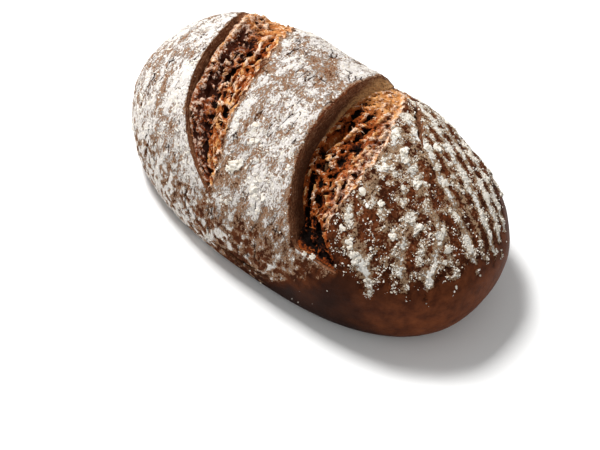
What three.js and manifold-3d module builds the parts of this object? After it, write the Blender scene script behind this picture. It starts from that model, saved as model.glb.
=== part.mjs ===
// A whole oval rye loaf: floured in its basket, scored twice, baked on a flat stone.
//
// The loaf is one solid.  Its skin is a rounded oval form, higher at one end, with
// a flat base.  Two deep scores are cut across it at a slant.  Each has a sharp lip,
// a smooth wall left by the blade, and a floor of torn crumb that climbs from the
// foot of the wall to the ragged edge on the other side.  Bubbles, a fold, a burst
// near the base and lumps of flour are relief in the same solid.
//
// X runs along the loaf, Y across it and Z up from the base.  Lengths are in
// millimetres.  A place on the skin is given as (x, turn): turn is an angle round
// the loaf in degrees, 0 at the widest ring on the near side (-Y), 90 at the top
// and 180 at the widest ring on the far side.

import * as THREE from "three";
import { mergeVertices } from "three/addons/utils/BufferGeometryUtils.js";
import Module from "manifold-3d";

const wasm = await Module();
wasm.setup();

// ---------------------------------------------------------------- sizes

const LOAF = {
  length: 262,
  width: 150.6,
  height: 103.5, // at the middle of the length
  girthHeight: 31.9, // height of the widest ring above the base
  bellyDepth: 61, // how far the lower half would reach down without the base
  planPower: 2.4, // 2 is an ellipse, more is boxier
  sectionPower: 2.32,
  widening: 0.056, // share of the width gained at the +X end
  sinking: 0.264, // share of the upper half's height lost at the +X end
  baseEdge: 7, // how far above the base its rounded edge begins
  swell: 0.7, // depth of the soft unevenness of the skin
};

const GRID = { along: 30, across: 20, up: 12 }; // facets of the skin
const WALL_COLUMNS = 3; // facets down the wall of a score

// Lines across the skin: x at the top, drift of x over the near quarter turn, and
// swings of x that set in towards the near (-Y) and the far (+Y) side.
const SCORES = [
  {
    name: "left",
    lip: { top: -86.2, drift: 11.8, nearSwing: 102, nearFrom: 27, nearBend: 0.5 },
    tear: { top: -47.7, drift: 23, nearSwing: 0, nearFrom: 0, nearBend: 1 },
    nearTurn: 9,
    farTurn: 158,
    nearFade: 20,
    farFade: 26,
    wallDepth: 12.5,
    farDepth: 0.12,
    rows: 52,
    columns: 14,
    seed: 3,
    folds: [
      { at: 0.27, wide: 0.11, rise: 4.6, turn: 82, reach: 44 },
      { at: 0.47, wide: 0.12, rise: -5.2, turn: 84, reach: 36 },
      { at: 0.62, wide: 0.1, rise: 3.0, turn: 104, reach: 40 },
      { at: 0.8, wide: 0.12, rise: 1.8, turn: 30, reach: 26 },
    ],
  },
  {
    name: "right",
    lip: { top: 3.1, drift: -1.8, nearSwing: 33.7, nearFrom: 57, nearBend: 0.5 },
    tear: {
      top: 44.7, drift: 0, nearSwing: 42, nearFrom: 36, nearBend: 0.12,
      farSwing: -12, farFrom: 70, farBend: 0.3,
    },
    nearTurn: 16.5,
    farTurn: 156,
    nearFade: 9,
    farFade: 26,
    wallDepth: 13.5,
    farDepth: 0.4,
    rows: 50,
    columns: 16,
    seed: 11,
    folds: [
      { at: 0.2, wide: 0.08, rise: -3.2, turn: 62, reach: 40 },
      { at: 0.36, wide: 0.1, rise: 4.2, turn: 74, reach: 34 },
      { at: 0.52, wide: 0.1, rise: -3.6, turn: 66, reach: 40 },
      { at: 0.68, wide: 0.12, rise: 2.4, turn: 80, reach: 50 },
    ],
  },
];

// The wall is steep on the near side and lies down over the far shoulder, where
// the tear is shallow.
const WALL = { nearShare: 0.14, farShare: 0.55, farFrom: 88, farBy: 140 };
const SHALLOWING = { farFrom: 86, farBy: 127 };
const FLOOR_POWER = 2.3; // the floor stays low, then climbs a steep bank
const CRAG_HEIGHT = 2.9;
const CRAG_SIZE = { across: 5.2, along: 13 };
const TEAR_DROP = 1.5; // the torn edge lies this far under the skin
const EDGE_WANDER = 0.9; // how far the torn edge wanders sideways
const EAR = { rise: 1.6, spread: 10 }; // the lip lifts out of the skin
const ROLL = { drop: 1.4, spread: 8 }; // the skin sinks towards the torn edge
const CUTTER_CLEARANCE = 9; // how far a cutter stands out of the skin

// Broad hollows and swellings that the oven left in the form.
const SWELLINGS = [
  { x: -6, turn: 130, reachX: 32, reachTurn: 30, rise: -2.7 },
  { x: 44, turn: 140, reachX: 26, reachTurn: 26, rise: 1.6 },
];

// Bubbles torn open in the crumb: share of the way across it, turn and half sizes.
const BUBBLES = [
  { score: "left", across: 0.72, turn: 51, along: 4.4, sideways: 3.6, deep: 4.2 },
  { score: "left", across: 0.4, turn: 71, along: 8, sideways: 3.0, deep: 4.0 },
  { score: "left", across: 0.81, turn: 92, along: 6, sideways: 3.2, deep: 4.4 },
  { score: "left", across: 0.22, turn: 55, along: 5, sideways: 2.6, deep: 3.6 },
  { score: "right", across: 0.24, turn: 79, along: 10, sideways: 3.2, deep: 4.8 },
  { score: "right", across: 0.26, turn: 93, along: 5, sideways: 2.6, deep: 3.6 },
  { score: "right", across: 0.3, turn: 64, along: 5, sideways: 3.2, deep: 4.2 },
  { score: "right", across: 0.37, turn: 54, along: 6, sideways: 3.2, deep: 4.2 },
  { score: "right", across: 0.44, turn: 45, along: 5, sideways: 3.2, deep: 4.0 },
  { score: "right", across: 0.16, turn: 33, along: 6, sideways: 2.6, deep: 3.6 },
];

// Narrow boat-shaped openings in the skin.
const SPLITS = [
  { name: "fold", from: { x: 31, turn: 133 }, to: { x: 55, turn: 107 }, wide: 3.4, deep: 3.6 },
  { name: "burst", from: { x: -24, turn: -11 }, to: { x: 27, turn: -9 }, wide: 4.6, deep: 6 },
  { name: "notch", from: { x: -91, turn: -2 }, to: { x: -87, turn: 11 }, wide: 3.2, deep: 2.6 },
];

const FLOUR_LUMPS = { count: 16, seed: 41, smallest: 1.3, largest: 2.9, flatness: 0.62 };
const FLOUR_PATCH = { x: -8, turn: 46, reachX: 22, reachTurn: 26 }; // where the lumps lie
const BIG_LUMP = { x: -19.7, turn: 36, radius: 3.3 };

const CRUST_BROWN = "#6b4431";

// ---------------------------------------------------------------- the skin

const RADIANS = Math.PI / 180;
const HALF_LENGTH = LOAF.length / 2;
const HALF_WIDTH = LOAF.width / 2;

/** A repeatable value from 0 to 1 for a lattice point. */
function lattice(i, j, seed) {
  const wave = Math.sin(i * 127.1 + j * 311.7 + seed * 74.7) * 43758.5453;
  return wave - Math.floor(wave);
}

/** Smooth noise from -1 to 1 over a plane, one lump for each unit. */
function noise(p, q, seed) {
  const i = Math.floor(p);
  const j = Math.floor(q);
  const s = (p - i) * (p - i) * (3 - 2 * (p - i));
  const t = (q - j) * (q - j) * (3 - 2 * (q - j));
  const near = lattice(i, j, seed) * (1 - s) + lattice(i + 1, j, seed) * s;
  const far = lattice(i, j + 1, seed) * (1 - s) + lattice(i + 1, j + 1, seed) * s;
  return 2 * (near * (1 - t) + far * t) - 1;
}

/** Rises smoothly from 0 to 1 as value goes from 0 to 1, and stays there. */
function ease(value) {
  const x = Math.min(Math.max(value, 0), 1);
  return x * x * (3 - 2 * x);
}

/** A ramp that is 0 well below 0 and equals value well above it. */
function ramp(value, bend) {
  return (value + Math.sqrt(value * value + bend * bend)) / 2;
}

/** A bell of height 1 over 0. */
function bell(value) {
  return Math.exp(-value * value);
}

/** Flattens everything below the base, with a rounded edge. */
function restOnBase(z) {
  const edge = LOAF.baseEdge;
  if (z > edge) {
    return z;
  }
  return z < -edge ? 0 : (z + edge) ** 2 / (4 * edge);
}

/** Gives a place of the unit form, before it is placed on its base, its real size. */
function sized(along, y, up) {
  const height = LOAF.height - LOAF.girthHeight;
  return new THREE.Vector3(
    along * HALF_LENGTH,
    y * HALF_WIDTH * (1 + LOAF.widening * along),
    up > 0
      ? LOAF.girthHeight + up * height * (1 - LOAF.sinking * along)
      : LOAF.girthHeight + up * LOAF.bellyDepth,
  );
}

/** Zero on the plain form of the loaf, above zero outside it. */
function outside(point) {
  const along = point.x / HALF_LENGTH;
  const y = point.y / (HALF_WIDTH * (1 + LOAF.widening * along));
  const rise = point.z - LOAF.girthHeight;
  const reach =
    rise > 0
      ? (LOAF.height - LOAF.girthHeight) * (1 - LOAF.sinking * along)
      : LOAF.bellyDepth;
  const plan = Math.abs(along) ** LOAF.planPower + Math.abs(y) ** LOAF.planPower;
  return (
    plan ** (LOAF.sectionPower / LOAF.planPower) +
    Math.abs(rise / reach) ** LOAF.sectionPower -
    1
  );
}

/** The direction that points straight out of the plain form. */
function outward(point) {
  const step = 0.05;
  const value = outside(point);
  const slope = ["x", "y", "z"].map((axis) => {
    const moved = point.clone();
    moved[axis] += step;
    return outside(moved) - value;
  });
  return new THREE.Vector3(...slope).normalize();
}

/** The place (x, turn) on the plain form. */
function placeOnForm(x, turn) {
  const along = x / HALF_LENGTH;
  const { planPower, sectionPower } = LOAF;
  const widest = (1 - Math.abs(along) ** planPower) ** (1 / planPower);
  const y = -widest * Math.cos(turn * RADIANS);
  const plan = Math.abs(along) ** planPower + Math.abs(y) ** planPower;
  const up = Math.max(1 - plan ** (sectionPower / planPower), 0) ** (1 / sectionPower);
  return sized(along, y, turn < 0 || turn > 180 ? -up : up);
}

/** The turn of a point on the plain form. */
function turnOf(point) {
  const along = point.x / HALF_LENGTH;
  const widest = (1 - Math.abs(along) ** LOAF.planPower) ** (1 / LOAF.planPower);
  const share = -point.y / (widest * HALF_WIDTH * (1 + LOAF.widening * along));
  const turn = Math.acos(THREE.MathUtils.clamp(share, -1, 1)) / RADIANS;
  return point.z < LOAF.girthHeight ? -turn : turn;
}

/** The x of a line across the skin at a turn. */
function lineAt(line, turn) {
  const near = ramp((line.nearFrom - turn) / 45, line.nearBend) * line.nearSwing;
  const far = line.farSwing
    ? ramp((turn - line.farFrom) / 45, line.farBend) * line.farSwing
    : 0;
  return line.top + (line.drift * (90 - turn)) / 90 + near + far;
}

/** Where a score opens at a turn: the x of its lip and of its torn edge. */
function opening(score, turn) {
  const lip = lineAt(score.lip, turn);
  const wander = EDGE_WANDER * noise(turn / 5, 0, score.seed + 1);
  const closing = Math.sqrt(ease((score.farTurn + 4 - turn) / score.farFade));
  const wide = Math.max(lineAt(score.tear, turn) - lip + wander, 1) * closing;
  return { lip, tear: lip + wide };
}

/** From 0 at the ends of a score to 1 along its middle. */
function openness(score, turn) {
  const near = ease((turn - score.nearTurn) / score.nearFade);
  return near * ease((score.farTurn - turn) / score.farFade);
}

/** How far the real skin stands out from the plain form at a point. */
function relief(point) {
  let out =
    LOAF.swell * (noise(point.x / 31, point.y / 27, 5) + 0.5 * noise(point.x / 14, point.y / 13, 7));
  out *= ease(point.z / 20);
  if (Math.abs(point.x) < 0.9 * HALF_LENGTH && point.z > LOAF.girthHeight) {
    const turn = turnOf(point);
    for (const score of SCORES) {
      const { lip, tear } = opening(score, turn);
      const open = openness(score, turn);
      out += EAR.rise * open * bell((point.x - lip) / EAR.spread);
      out -= ROLL.drop * open * bell((point.x - tear) / ROLL.spread);
    }
    for (const { x, turn: middle, reachX, reachTurn, rise } of SWELLINGS) {
      out += rise * bell((point.x - x) / reachX) * bell((turn - middle) / reachTurn);
    }
  }
  return out;
}

/** The place (x, turn) on the real skin, moved out by a distance. */
function placeOnSkin(x, turn, out = 0) {
  const point = placeOnForm(x, turn);
  return point.clone().addScaledVector(outward(point), relief(point) + out);
}

// ---------------------------------------------------------------- solids

/** Turns a closed geometry into a solid that can be joined and cut. */
function solid(geometry) {
  geometry.deleteAttribute("normal");
  geometry.deleteAttribute("uv");
  const merged = mergeVertices(geometry);
  return new wasm.Manifold(
    new wasm.Mesh({
      numProp: 3,
      vertProperties: new Float32Array(merged.attributes.position.array),
      triVerts: new Uint32Array(merged.index.array),
    }),
  );
}

/** Moves each vertex of a geometry to the place that a function gives for it. */
function reshape(geometry, place) {
  const position = geometry.attributes.position;
  const vertex = new THREE.Vector3();
  for (let i = 0; i < position.count; i += 1) {
    vertex.fromBufferAttribute(position, i);
    const moved = place(vertex);
    position.setXYZ(i, moved.x, moved.y, moved.z);
  }
  return geometry;
}

/** The uncut loaf: a box of facets blown up into the rounded form. */
function uncutLoaf() {
  const box = new THREE.BoxGeometry(2, 2, 2, GRID.along, GRID.across, GRID.up);
  return reshape(box, (corner) => {
    const even = new THREE.Vector3(
      Math.tan((corner.x * Math.PI) / 4),
      Math.tan((corner.y * Math.PI) / 4),
      Math.tan((corner.z * Math.PI) / 4),
    ).normalize();
    const plan = Math.abs(even.x) ** LOAF.planPower + Math.abs(even.y) ** LOAF.planPower;
    const radius =
      (plan ** (LOAF.sectionPower / LOAF.planPower) + Math.abs(even.z) ** LOAF.sectionPower) **
      (-1 / LOAF.sectionPower);
    const point = sized(even.x * radius, even.y * radius, even.z * radius);
    const skin = point.clone().addScaledVector(outward(point), relief(point));
    skin.z = restOnBase(skin.z);
    return skin;
  });
}

/** How far a turn has gone, from 0 to 1, between two turns on the far shoulder. */
function farness({ farFrom, farBy }, turn) {
  return ease((turn - farFrom) / (farBy - farFrom));
}

/** Height of the torn crumb against the skin: across runs from wall foot to edge. */
function crumbHeight(score, across, turn, wide) {
  const depth = score.wallDepth * THREE.MathUtils.lerp(1, score.farDepth, farness(SHALLOWING, turn));
  const climb = -depth * (1 - across ** FLOOR_POWER) - TEAR_DROP;
  const side = (across * wide) / CRAG_SIZE.across;
  const run = (turn * 1.27) / CRAG_SIZE.along;
  const coarse = 1 - 2 * Math.abs(noise(side, run, score.seed));
  const crags = coarse * 0.8 + 0.6 * noise(side * 1.9, run * 2.1, score.seed + 20);
  const folds = score.folds.reduce(
    (sum, fold) =>
      sum + fold.rise * bell((across - fold.at) / fold.wide) * bell((turn - fold.turn) / fold.reach),
    0,
  );
  const calm = ease(across / 0.1) * ease((1 - across) / 0.1) * (1 - 0.5 * farness(SHALLOWING, turn));
  return climb + (folds + CRAG_HEIGHT * crags) * calm;
}

/**
 * A place in a score: wall goes from 0 at the lip to 1 at the foot of the wall, then
 * across from 0 there to 1 at the torn edge.
 */
function placeInScore(score, wall, across, turn) {
  const { lip, tear } = opening(score, turn);
  const foot = THREE.MathUtils.lerp(WALL.nearShare, WALL.farShare, farness(WALL, turn));
  const x = THREE.MathUtils.lerp(lip, tear, wall * foot + across * (1 - foot));
  const open = openness(score, turn);
  const floor = crumbHeight(score, across, turn, tear - lip) * wall ** 0.8;
  return { x, out: floor * open + (1 - open) * 1.2 };
}

/** The space of one score, with the torn crumb as its underside. */
function scoreCutter(score) {
  const box = new THREE.BoxGeometry(1, 1, 1, score.columns, score.rows, 1);
  return reshape(box, (corner) => {
    const turn = THREE.MathUtils.lerp(score.nearTurn, score.farTurn, corner.y + 0.5);
    const column = Math.round((corner.x + 0.5) * score.columns);
    const wall = Math.min(column / WALL_COLUMNS, 1);
    const across = Math.max((column - WALL_COLUMNS) / (score.columns - WALL_COLUMNS), 0);
    const { x, out } = placeInScore(score, wall, across, turn);
    return placeOnSkin(x, turn, corner.z > 0 ? CUTTER_CLEARANCE : out);
  });
}

/** A rounded body on the skin or sunk in it, its length round the loaf. */
function blob(detail, { x, turn, out, along, sideways, deep }) {
  const middle = placeOnSkin(x, turn, out);
  const up = outward(placeOnForm(x, turn));
  const round = placeOnForm(x, turn + 2).sub(placeOnForm(x, turn - 2)).normalize();
  const side = new THREE.Vector3().crossVectors(round, up).normalize();
  return reshape(new THREE.IcosahedronGeometry(1, detail), (corner) =>
    middle
      .clone()
      .addScaledVector(side, corner.x * sideways)
      .addScaledVector(round, corner.y * along)
      .addScaledVector(up, corner.z * deep),
  );
}

/** The space of a bubble that the tear opened, sunk a little under the crumb. */
function bubbleCutter(bubble) {
  const score = SCORES.find(({ name }) => name === bubble.score);
  const { x, out } = placeInScore(score, 1, bubble.across, bubble.turn);
  return blob(1, { ...bubble, x, out: out - 0.2 * bubble.deep });
}

/** A boat-shaped opening that runs between two places on the skin. */
function splitCutter({ from, to, wide, deep }) {
  const box = new THREE.BoxGeometry(1, 1, 1, 2, 12, 1);
  const course = (run) =>
    placeOnSkin(
      THREE.MathUtils.lerp(from.x, to.x, run),
      THREE.MathUtils.lerp(from.turn, to.turn, run),
    );
  return reshape(box, (corner) => {
    const run = corner.y + 0.5;
    const middle = course(run);
    const ahead = course(Math.min(run + 0.02, 1)).sub(course(Math.max(run - 0.02, 0)));
    const out = outward(middle);
    const side = new THREE.Vector3().crossVectors(ahead, out).normalize();
    const belly = Math.sin(Math.PI * (0.03 + 0.94 * run));
    const wander = 0.3 * wide * noise(run * 6, 0, 9);
    const keel = corner.x === 0 && corner.z < 0;
    return middle
      .addScaledVector(side, corner.x * wide * belly + wander)
      .addScaledVector(out, corner.z > 0 ? 3 : keel ? -deep * belly : -0.25 * deep * belly);
  });
}

/** Lumps of flour that stuck to the dough, each an uneven little mound. */
function flourLumps() {
  const { count, seed, smallest, largest, flatness } = FLOUR_LUMPS;
  const mounds = [{ ...BIG_LUMP }];
  for (let i = 0; i < count; i += 1) {
    mounds.push({
      x: FLOUR_PATCH.x + FLOUR_PATCH.reachX * (2 * lattice(i, 1, seed) - 1),
      turn: FLOUR_PATCH.turn + FLOUR_PATCH.reachTurn * (2 * lattice(i, 2, seed) - 1),
      radius: THREE.MathUtils.lerp(smallest, largest, lattice(i, 3, seed) ** 2),
    });
  }
  return mounds
    .filter(({ x, turn }) =>
      SCORES.every((score) => {
        const { lip, tear } = opening(score, turn);
        return x < lip - 4 || x > tear + 4;
      }),
    )
    .map(({ x, turn, radius }) =>
      blob(0, {
        x,
        turn,
        out: 0.15 * radius,
        along: radius,
        sideways: radius * 1.1,
        deep: radius * flatness,
      }),
    );
}

/** The whole loaf: skin, scores, bubbles, splits and flour in one solid. */
function buildLoaf() {
  let loaf = solid(uncutLoaf());
  const cutters = [
    ...SCORES.map(scoreCutter),
    ...BUBBLES.map(bubbleCutter),
    ...SPLITS.map(splitCutter),
  ];
  for (const cutter of cutters) {
    loaf = loaf.subtract(solid(cutter));
  }
  for (const lump of flourLumps()) {
    loaf = loaf.add(solid(lump));
  }
  const { vertProperties, triVerts } = loaf.getMesh();
  const geometry = new THREE.BufferGeometry();
  geometry.setAttribute("position", new THREE.BufferAttribute(vertProperties, 3));
  geometry.setIndex(new THREE.BufferAttribute(triVerts, 1));
  geometry.computeBoundingBox();
  const middle = geometry.boundingBox.getCenter(new THREE.Vector3());
  geometry.translate(-middle.x, -middle.y, 0);
  geometry.computeVertexNormals();
  return geometry;
}

const bread = new THREE.Group();
const crust = new THREE.MeshStandardMaterial({ color: CRUST_BROWN, roughness: 0.8, metalness: 0 });
const loafMesh = new THREE.Mesh(buildLoaf(), crust);
loafMesh.name = "loaf";
bread.add(loafMesh);

export default bread;
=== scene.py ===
"""A whole oval rye loaf: floured in its basket, scored twice, baked on a flat stone.

The loaf's skin is a rounded oval form with a flat base.  Two deep scores cross it.
Each has a sharp lip, a smooth wall left by the blade and a bed of torn crumb that
climbs to the ragged edge on its other side.  Dry flour lies on the crust as dust, as
a cracked cake, in the stripes of the basket and in loose clumps.

Lengths are in millimetres, X along the loaf, Y across it and Z up from the base, until
a mesh is made, which is in metres.  A place on the skin is (x, turn): turn is an angle
round the loaf in degrees, 0 at the widest ring on the near side (-Y), 90 at the top and
180 on the far side.
"""

import logging
import math
from dataclasses import dataclass, field, replace
from enum import Enum

import bpy
import bmesh
import numpy as np
import openvdb
from mathutils import Matrix, Vector


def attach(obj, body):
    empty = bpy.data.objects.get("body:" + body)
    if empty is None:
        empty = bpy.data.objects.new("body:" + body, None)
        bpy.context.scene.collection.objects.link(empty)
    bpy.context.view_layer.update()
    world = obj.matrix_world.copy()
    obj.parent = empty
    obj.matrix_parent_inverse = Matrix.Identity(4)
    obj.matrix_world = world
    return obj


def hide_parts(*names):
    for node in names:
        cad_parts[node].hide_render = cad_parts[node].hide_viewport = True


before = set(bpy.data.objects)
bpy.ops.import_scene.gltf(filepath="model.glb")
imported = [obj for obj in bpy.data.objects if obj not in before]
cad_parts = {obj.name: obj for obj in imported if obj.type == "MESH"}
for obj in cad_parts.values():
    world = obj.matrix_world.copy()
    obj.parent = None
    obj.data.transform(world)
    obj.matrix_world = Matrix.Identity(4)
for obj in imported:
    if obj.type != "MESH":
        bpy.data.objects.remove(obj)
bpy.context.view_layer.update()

log = logging.getLogger("rye_loaf")

MM = 0.001
BODY = "root"
NODE = "loaf"
# How far a degree of turn goes round the loaf, about, in millimetres.
MM_PER_DEGREE = 1.27

Array = np.ndarray
Triple = tuple[float, float, float]
Material, Mesh, Object = bpy.types.Material, bpy.types.Mesh, bpy.types.Object
Socket, Tree = bpy.types.NodeSocket, bpy.types.NodeTree

# The nodes used most.  A RANGE takes a value, the two values it runs between and what
# those become; a MIX takes a share first, then two numbers as 2 and 3 or colours as 6 and 7.
ATTRIBUTE = "ShaderNodeAttribute"
MATH = "ShaderNodeMath"
MIX = "ShaderNodeMix"
NOISE = "ShaderNodeTexNoise"
RANDOM = "FunctionNodeRandomValue"
RANGE = "ShaderNodeMapRange"
VECTOR = "ShaderNodeVectorMath"


# -------- small mathematics


def ease(value: Array) -> Array:
    """Rises smoothly from 0 to 1 as value goes from 0 to 1, and stays there."""
    x = np.clip(value, 0.0, 1.0)
    return x * x * (3.0 - 2.0 * x)


def ramp(value: Array, bend: float) -> Array:
    """A ramp that is 0 well below 0 and equals value well above it."""
    return (value + np.sqrt(value * value + bend * bend)) / 2.0


def bell(value: Array) -> Array:
    """A bell of height 1 over 0."""
    return np.exp(-value * value)


@dataclass(frozen=True)
class Slope:
    """A smooth change from 0 at a start to 1 a reach away, which is below 0 if it runs back."""

    start: float
    reach: float

    def __call__(self, value: Array) -> Array:
        """From 0 to 1 at a value."""
        return ease((value - self.start) / self.reach)


@dataclass(frozen=True)
class Hump:
    """A smooth rise to 1 over a middle, which fades out to both sides."""

    middle: float
    wide: float

    def __call__(self, value: Array) -> Array:
        """From 0 to 1 at a value."""
        return bell((value - self.middle) / self.wide)


def lerp(start: Array, end: Array, share: Array) -> Array:
    """The value a share of the way from start to end."""
    return start + (end - start) * share


def lattice(i: Array, j: Array, seed: float) -> Array:
    """A repeatable value from 0 to 1 for a lattice point."""
    wave = np.sin(i * 127.1 + j * 311.7 + seed * 74.7) * 43758.5453
    return wave - np.floor(wave)


def noise(p: Array, q: Array, seed: float) -> Array:
    """Smooth noise from -1 to 1 over a plane, one lump for each unit.

    Args:
        p: places along the first axis of the plane.
        q: places along its second axis.
        seed: picks the pattern.

    Returns:
        One value for each place.
    """
    p, q = np.broadcast_arrays(np.asarray(p, float), np.asarray(q, float))
    i, j = np.floor(p), np.floor(q)
    s, t = ease(p - i), ease(q - j)
    near = lerp(lattice(i, j, seed), lattice(i + 1, j, seed), s)
    far = lerp(lattice(i, j + 1, seed), lattice(i + 1, j + 1, seed), s)
    return 2.0 * lerp(near, far, t) - 1.0


def grain(points: Array, size: Triple, seed: int) -> Array:
    """Smooth noise from -1 to 1 in space.

    Args:
        points: places, with their three coordinates last.
        size: how far apart the lumps are along each coordinate.
        seed: picks the pattern.

    Returns:
        One value for each place.
    """
    side = 64
    table = np.random.default_rng(seed).uniform(-1.0, 1.0, (side,) * 3).astype(np.float32)
    scaled = points / np.asarray(size) + 0.37 * side
    cell = np.floor(scaled).astype(np.int64)
    x, y, z = (ease(scaled[..., k] - cell[..., k]) for k in range(3))
    i, j, k = (cell[..., n] % side for n in range(3))
    i1, j1, k1 = (i + 1) % side, (j + 1) % side, (k + 1) % side
    low, high = (
        lerp(*(lerp(table[i, row, n], table[i1, row, n], x) for row in (j, j1)), y)
        for n in (k, k1)
    )
    return lerp(low, high, z)


# -------- the form of the loaf


class Side(Enum):
    """Which of the two scores a thing belongs to."""

    LEFT = "left"
    RIGHT = "right"


@dataclass(frozen=True)
class SkinLine:
    """A line across the skin, given by its x at each turn."""

    top: float
    drift: float
    near_swing: float = 0.0
    near_from: float = 0.0
    near_bend: float = 1.0
    far_swing: float = 0.0
    far_from: float = 0.0
    far_bend: float = 1.0
    quarter: float = 45.0

    def at(self, turn: Array) -> Array:
        """The x of the line at a turn."""
        near = ramp((self.near_from - turn) / self.quarter, self.near_bend) * self.near_swing
        far = ramp((turn - self.far_from) / self.quarter, self.far_bend) * self.far_swing
        return self.top + self.drift * (90.0 - turn) / 90.0 + near + far


@dataclass(frozen=True)
class Fold:
    """A long ridge or valley in the torn crumb, at a share of the way across it."""

    at: float
    wide: float
    rise: float
    turn: float
    reach: float


@dataclass(frozen=True)
class Bubble:
    """A gas bubble that the tear opened: share across, turn and half sizes."""

    across: float
    turn: float
    along: float
    sideways: float
    deep: float


@dataclass(frozen=True)
class Score:
    """One deep cut across the loaf, opened by the oven."""

    side: Side
    lip: SkinLine
    tear: SkinLine
    near_turn: float
    far_turn: float
    near_fade: float
    crumb_fade: float
    wall_depth: float
    far_depth: float
    seed: int
    folds: tuple[Fold, ...]
    bubbles: tuple[Bubble, ...]
    far_fade: float = 26.0
    edge_wander: float = 0.9
    tear_drop: float = 1.5
    floor_power: float = 2.3
    crag_height: float = 2.9
    crag_across: float = 5.2
    crag_along: float = 13.0
    near_wall_share: float = 0.13
    far_wall_share: float = 0.3
    bulge: float = 0.0
    ledge: float = 0.0
    slant: float = 0.3
    crosswise: float = 0.0
    calm_foot: float = 0.0
    wander_run: float = 5.0
    end_spare: float = 4.0
    end_rise: float = 1.2
    pale_across: Hump = Hump(0.98, 0.17)
    pale_along: Hump = Hump(84.0, 58.0)
    bulging: Hump = Hump(76.0, 36.0)
    wall_widens: Slope = Slope(98.0, 50.0)
    shallows: Slope = Slope(86.0, 41.0)

    def opening(self, turn: Array) -> tuple[Array, Array]:
        """The x of the lip and of the torn edge at a turn.

        Args:
            turn: the turn round the loaf.

        Returns:
            Both, in millimetres.
        """
        lip = self.lip.at(turn)
        wander = self.edge_wander * noise(turn / self.wander_run, 0.0, self.seed + 1)
        wander = wander + self.bulge * self.bulging(turn)
        closing = np.sqrt(ease((self.far_turn + self.end_spare - turn) / self.far_fade))
        return lip, lip + np.maximum(self.tear.at(turn) - lip + wander, 1.0) * closing

    def openness(self, turn: Array) -> Array:
        """From 0 at the ends of the score to 1 along its middle."""
        near = ease((turn - self.near_turn) / self.near_fade)
        return near * ease((self.far_turn - turn) / self.far_fade)

    def filling(self, turn: Array) -> Array:
        """From 0 at the ends of the crumb in the score to 1 along its middle."""
        near = ease((turn - self.near_turn) / self.crumb_fade)
        return near * ease((self.far_turn - turn) / self.far_fade)

    def wall_share(self, turn: Array) -> Array:
        """The share of the opening that the wall takes."""
        return lerp(self.near_wall_share, self.far_wall_share, self.wall_widens(turn))

    def climb(self, across: Array, turn: Array) -> Array:
        """Height of the plain floor against the skin, from the wall's foot to the edge."""
        depth = self.wall_depth * lerp(1.0, self.far_depth, self.shallows(turn))
        return -depth * (1.0 - np.clip(across, 0.0, 1.0) ** self.floor_power) - self.tear_drop

    def crumb_height(self, across: Array, turn: Array, wide: Array) -> Array:
        """Height of the torn crumb against the skin, with its crags and folds.

        Args:
            across: 0 at the foot of the wall to 1 at the torn edge.
            turn: the turn round the loaf.
            wide: how wide the score is there.

        Returns:
            The heights in millimetres.
        """
        side = across * wide / self.crag_across
        run = turn * MM_PER_DEGREE / self.crag_along
        coarse = 1.0 - 2.0 * np.abs(noise(side, run, self.seed))
        crags = coarse * 0.8 + 0.6 * noise(side * 1.9, run * 2.1, self.seed + 20)
        folds = sum(
            f.rise * bell((across - f.at) / f.wide) * bell((turn - f.turn) / f.reach)
            for f in self.folds
        )
        calm = ease(across / 0.1) * ease((1.0 - across) / 0.1) * (1.0 - 0.5 * self.shallows(turn))
        return self.climb(across, turn) + (folds + self.crag_height * crags) * calm

    def paleness(self, across: Array, turn: Array) -> Array:
        """From 0 where the crumb is rust brown to 1 where it is pale and fibrous."""
        return self.pale_across(across) * self.pale_along(turn)

    def place(self, wall: Array, across: Array, turn: Array) -> tuple[Array, Array]:
        """A place in the score.

        Args:
            wall: 0 at the lip to 1 at the foot of the wall.
            across: 0 at the foot of the wall to 1 at the torn edge.
            turn: the turn round the loaf.

        Returns:
            Its x, and how far it stands out of the skin.
        """
        lip, tear = self.opening(turn)
        foot = self.wall_share(turn)
        x = lerp(lip, tear, wall * foot + across * (1.0 - foot))
        open_ = self.openness(turn)
        floor = self.crumb_height(across, turn, tear - lip) * wall**0.8
        return x, floor * open_ + (1.0 - open_) * self.end_rise


LEFT_SCORE = Score(
    side=Side.LEFT,
    lip=SkinLine(top=-86.2, drift=11.8, near_swing=102.0, near_from=27.0, near_bend=0.5),
    tear=SkinLine(top=-47.7, drift=23.0),
    near_turn=9.0,
    far_turn=158.0,
    near_fade=20.0,
    crumb_fade=20.0,
    wall_depth=12.5,
    far_depth=0.12,
    seed=3,
    near_wall_share=0.06,
    calm_foot=1.0,
    bulge=1.0,
    ledge=9.0,
    pale_across=Hump(0.14, 0.2),
    folds=(
        Fold(0.27, 0.13, 2.2, 82.0, 44.0),
        Fold(0.47, 0.12, -3.2, 84.0, 36.0),
        Fold(0.62, 0.12, 1.4, 108.0, 34.0),
    ),
    bubbles=(
        Bubble(0.74, 51.0, 4.6, 4.2, 4.6),
        Bubble(0.40, 71.0, 8.0, 3.0, 4.0),
        Bubble(0.81, 92.0, 6.0, 3.2, 4.4),
        Bubble(0.22, 55.0, 5.0, 2.6, 3.6),
    ),
)

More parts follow.
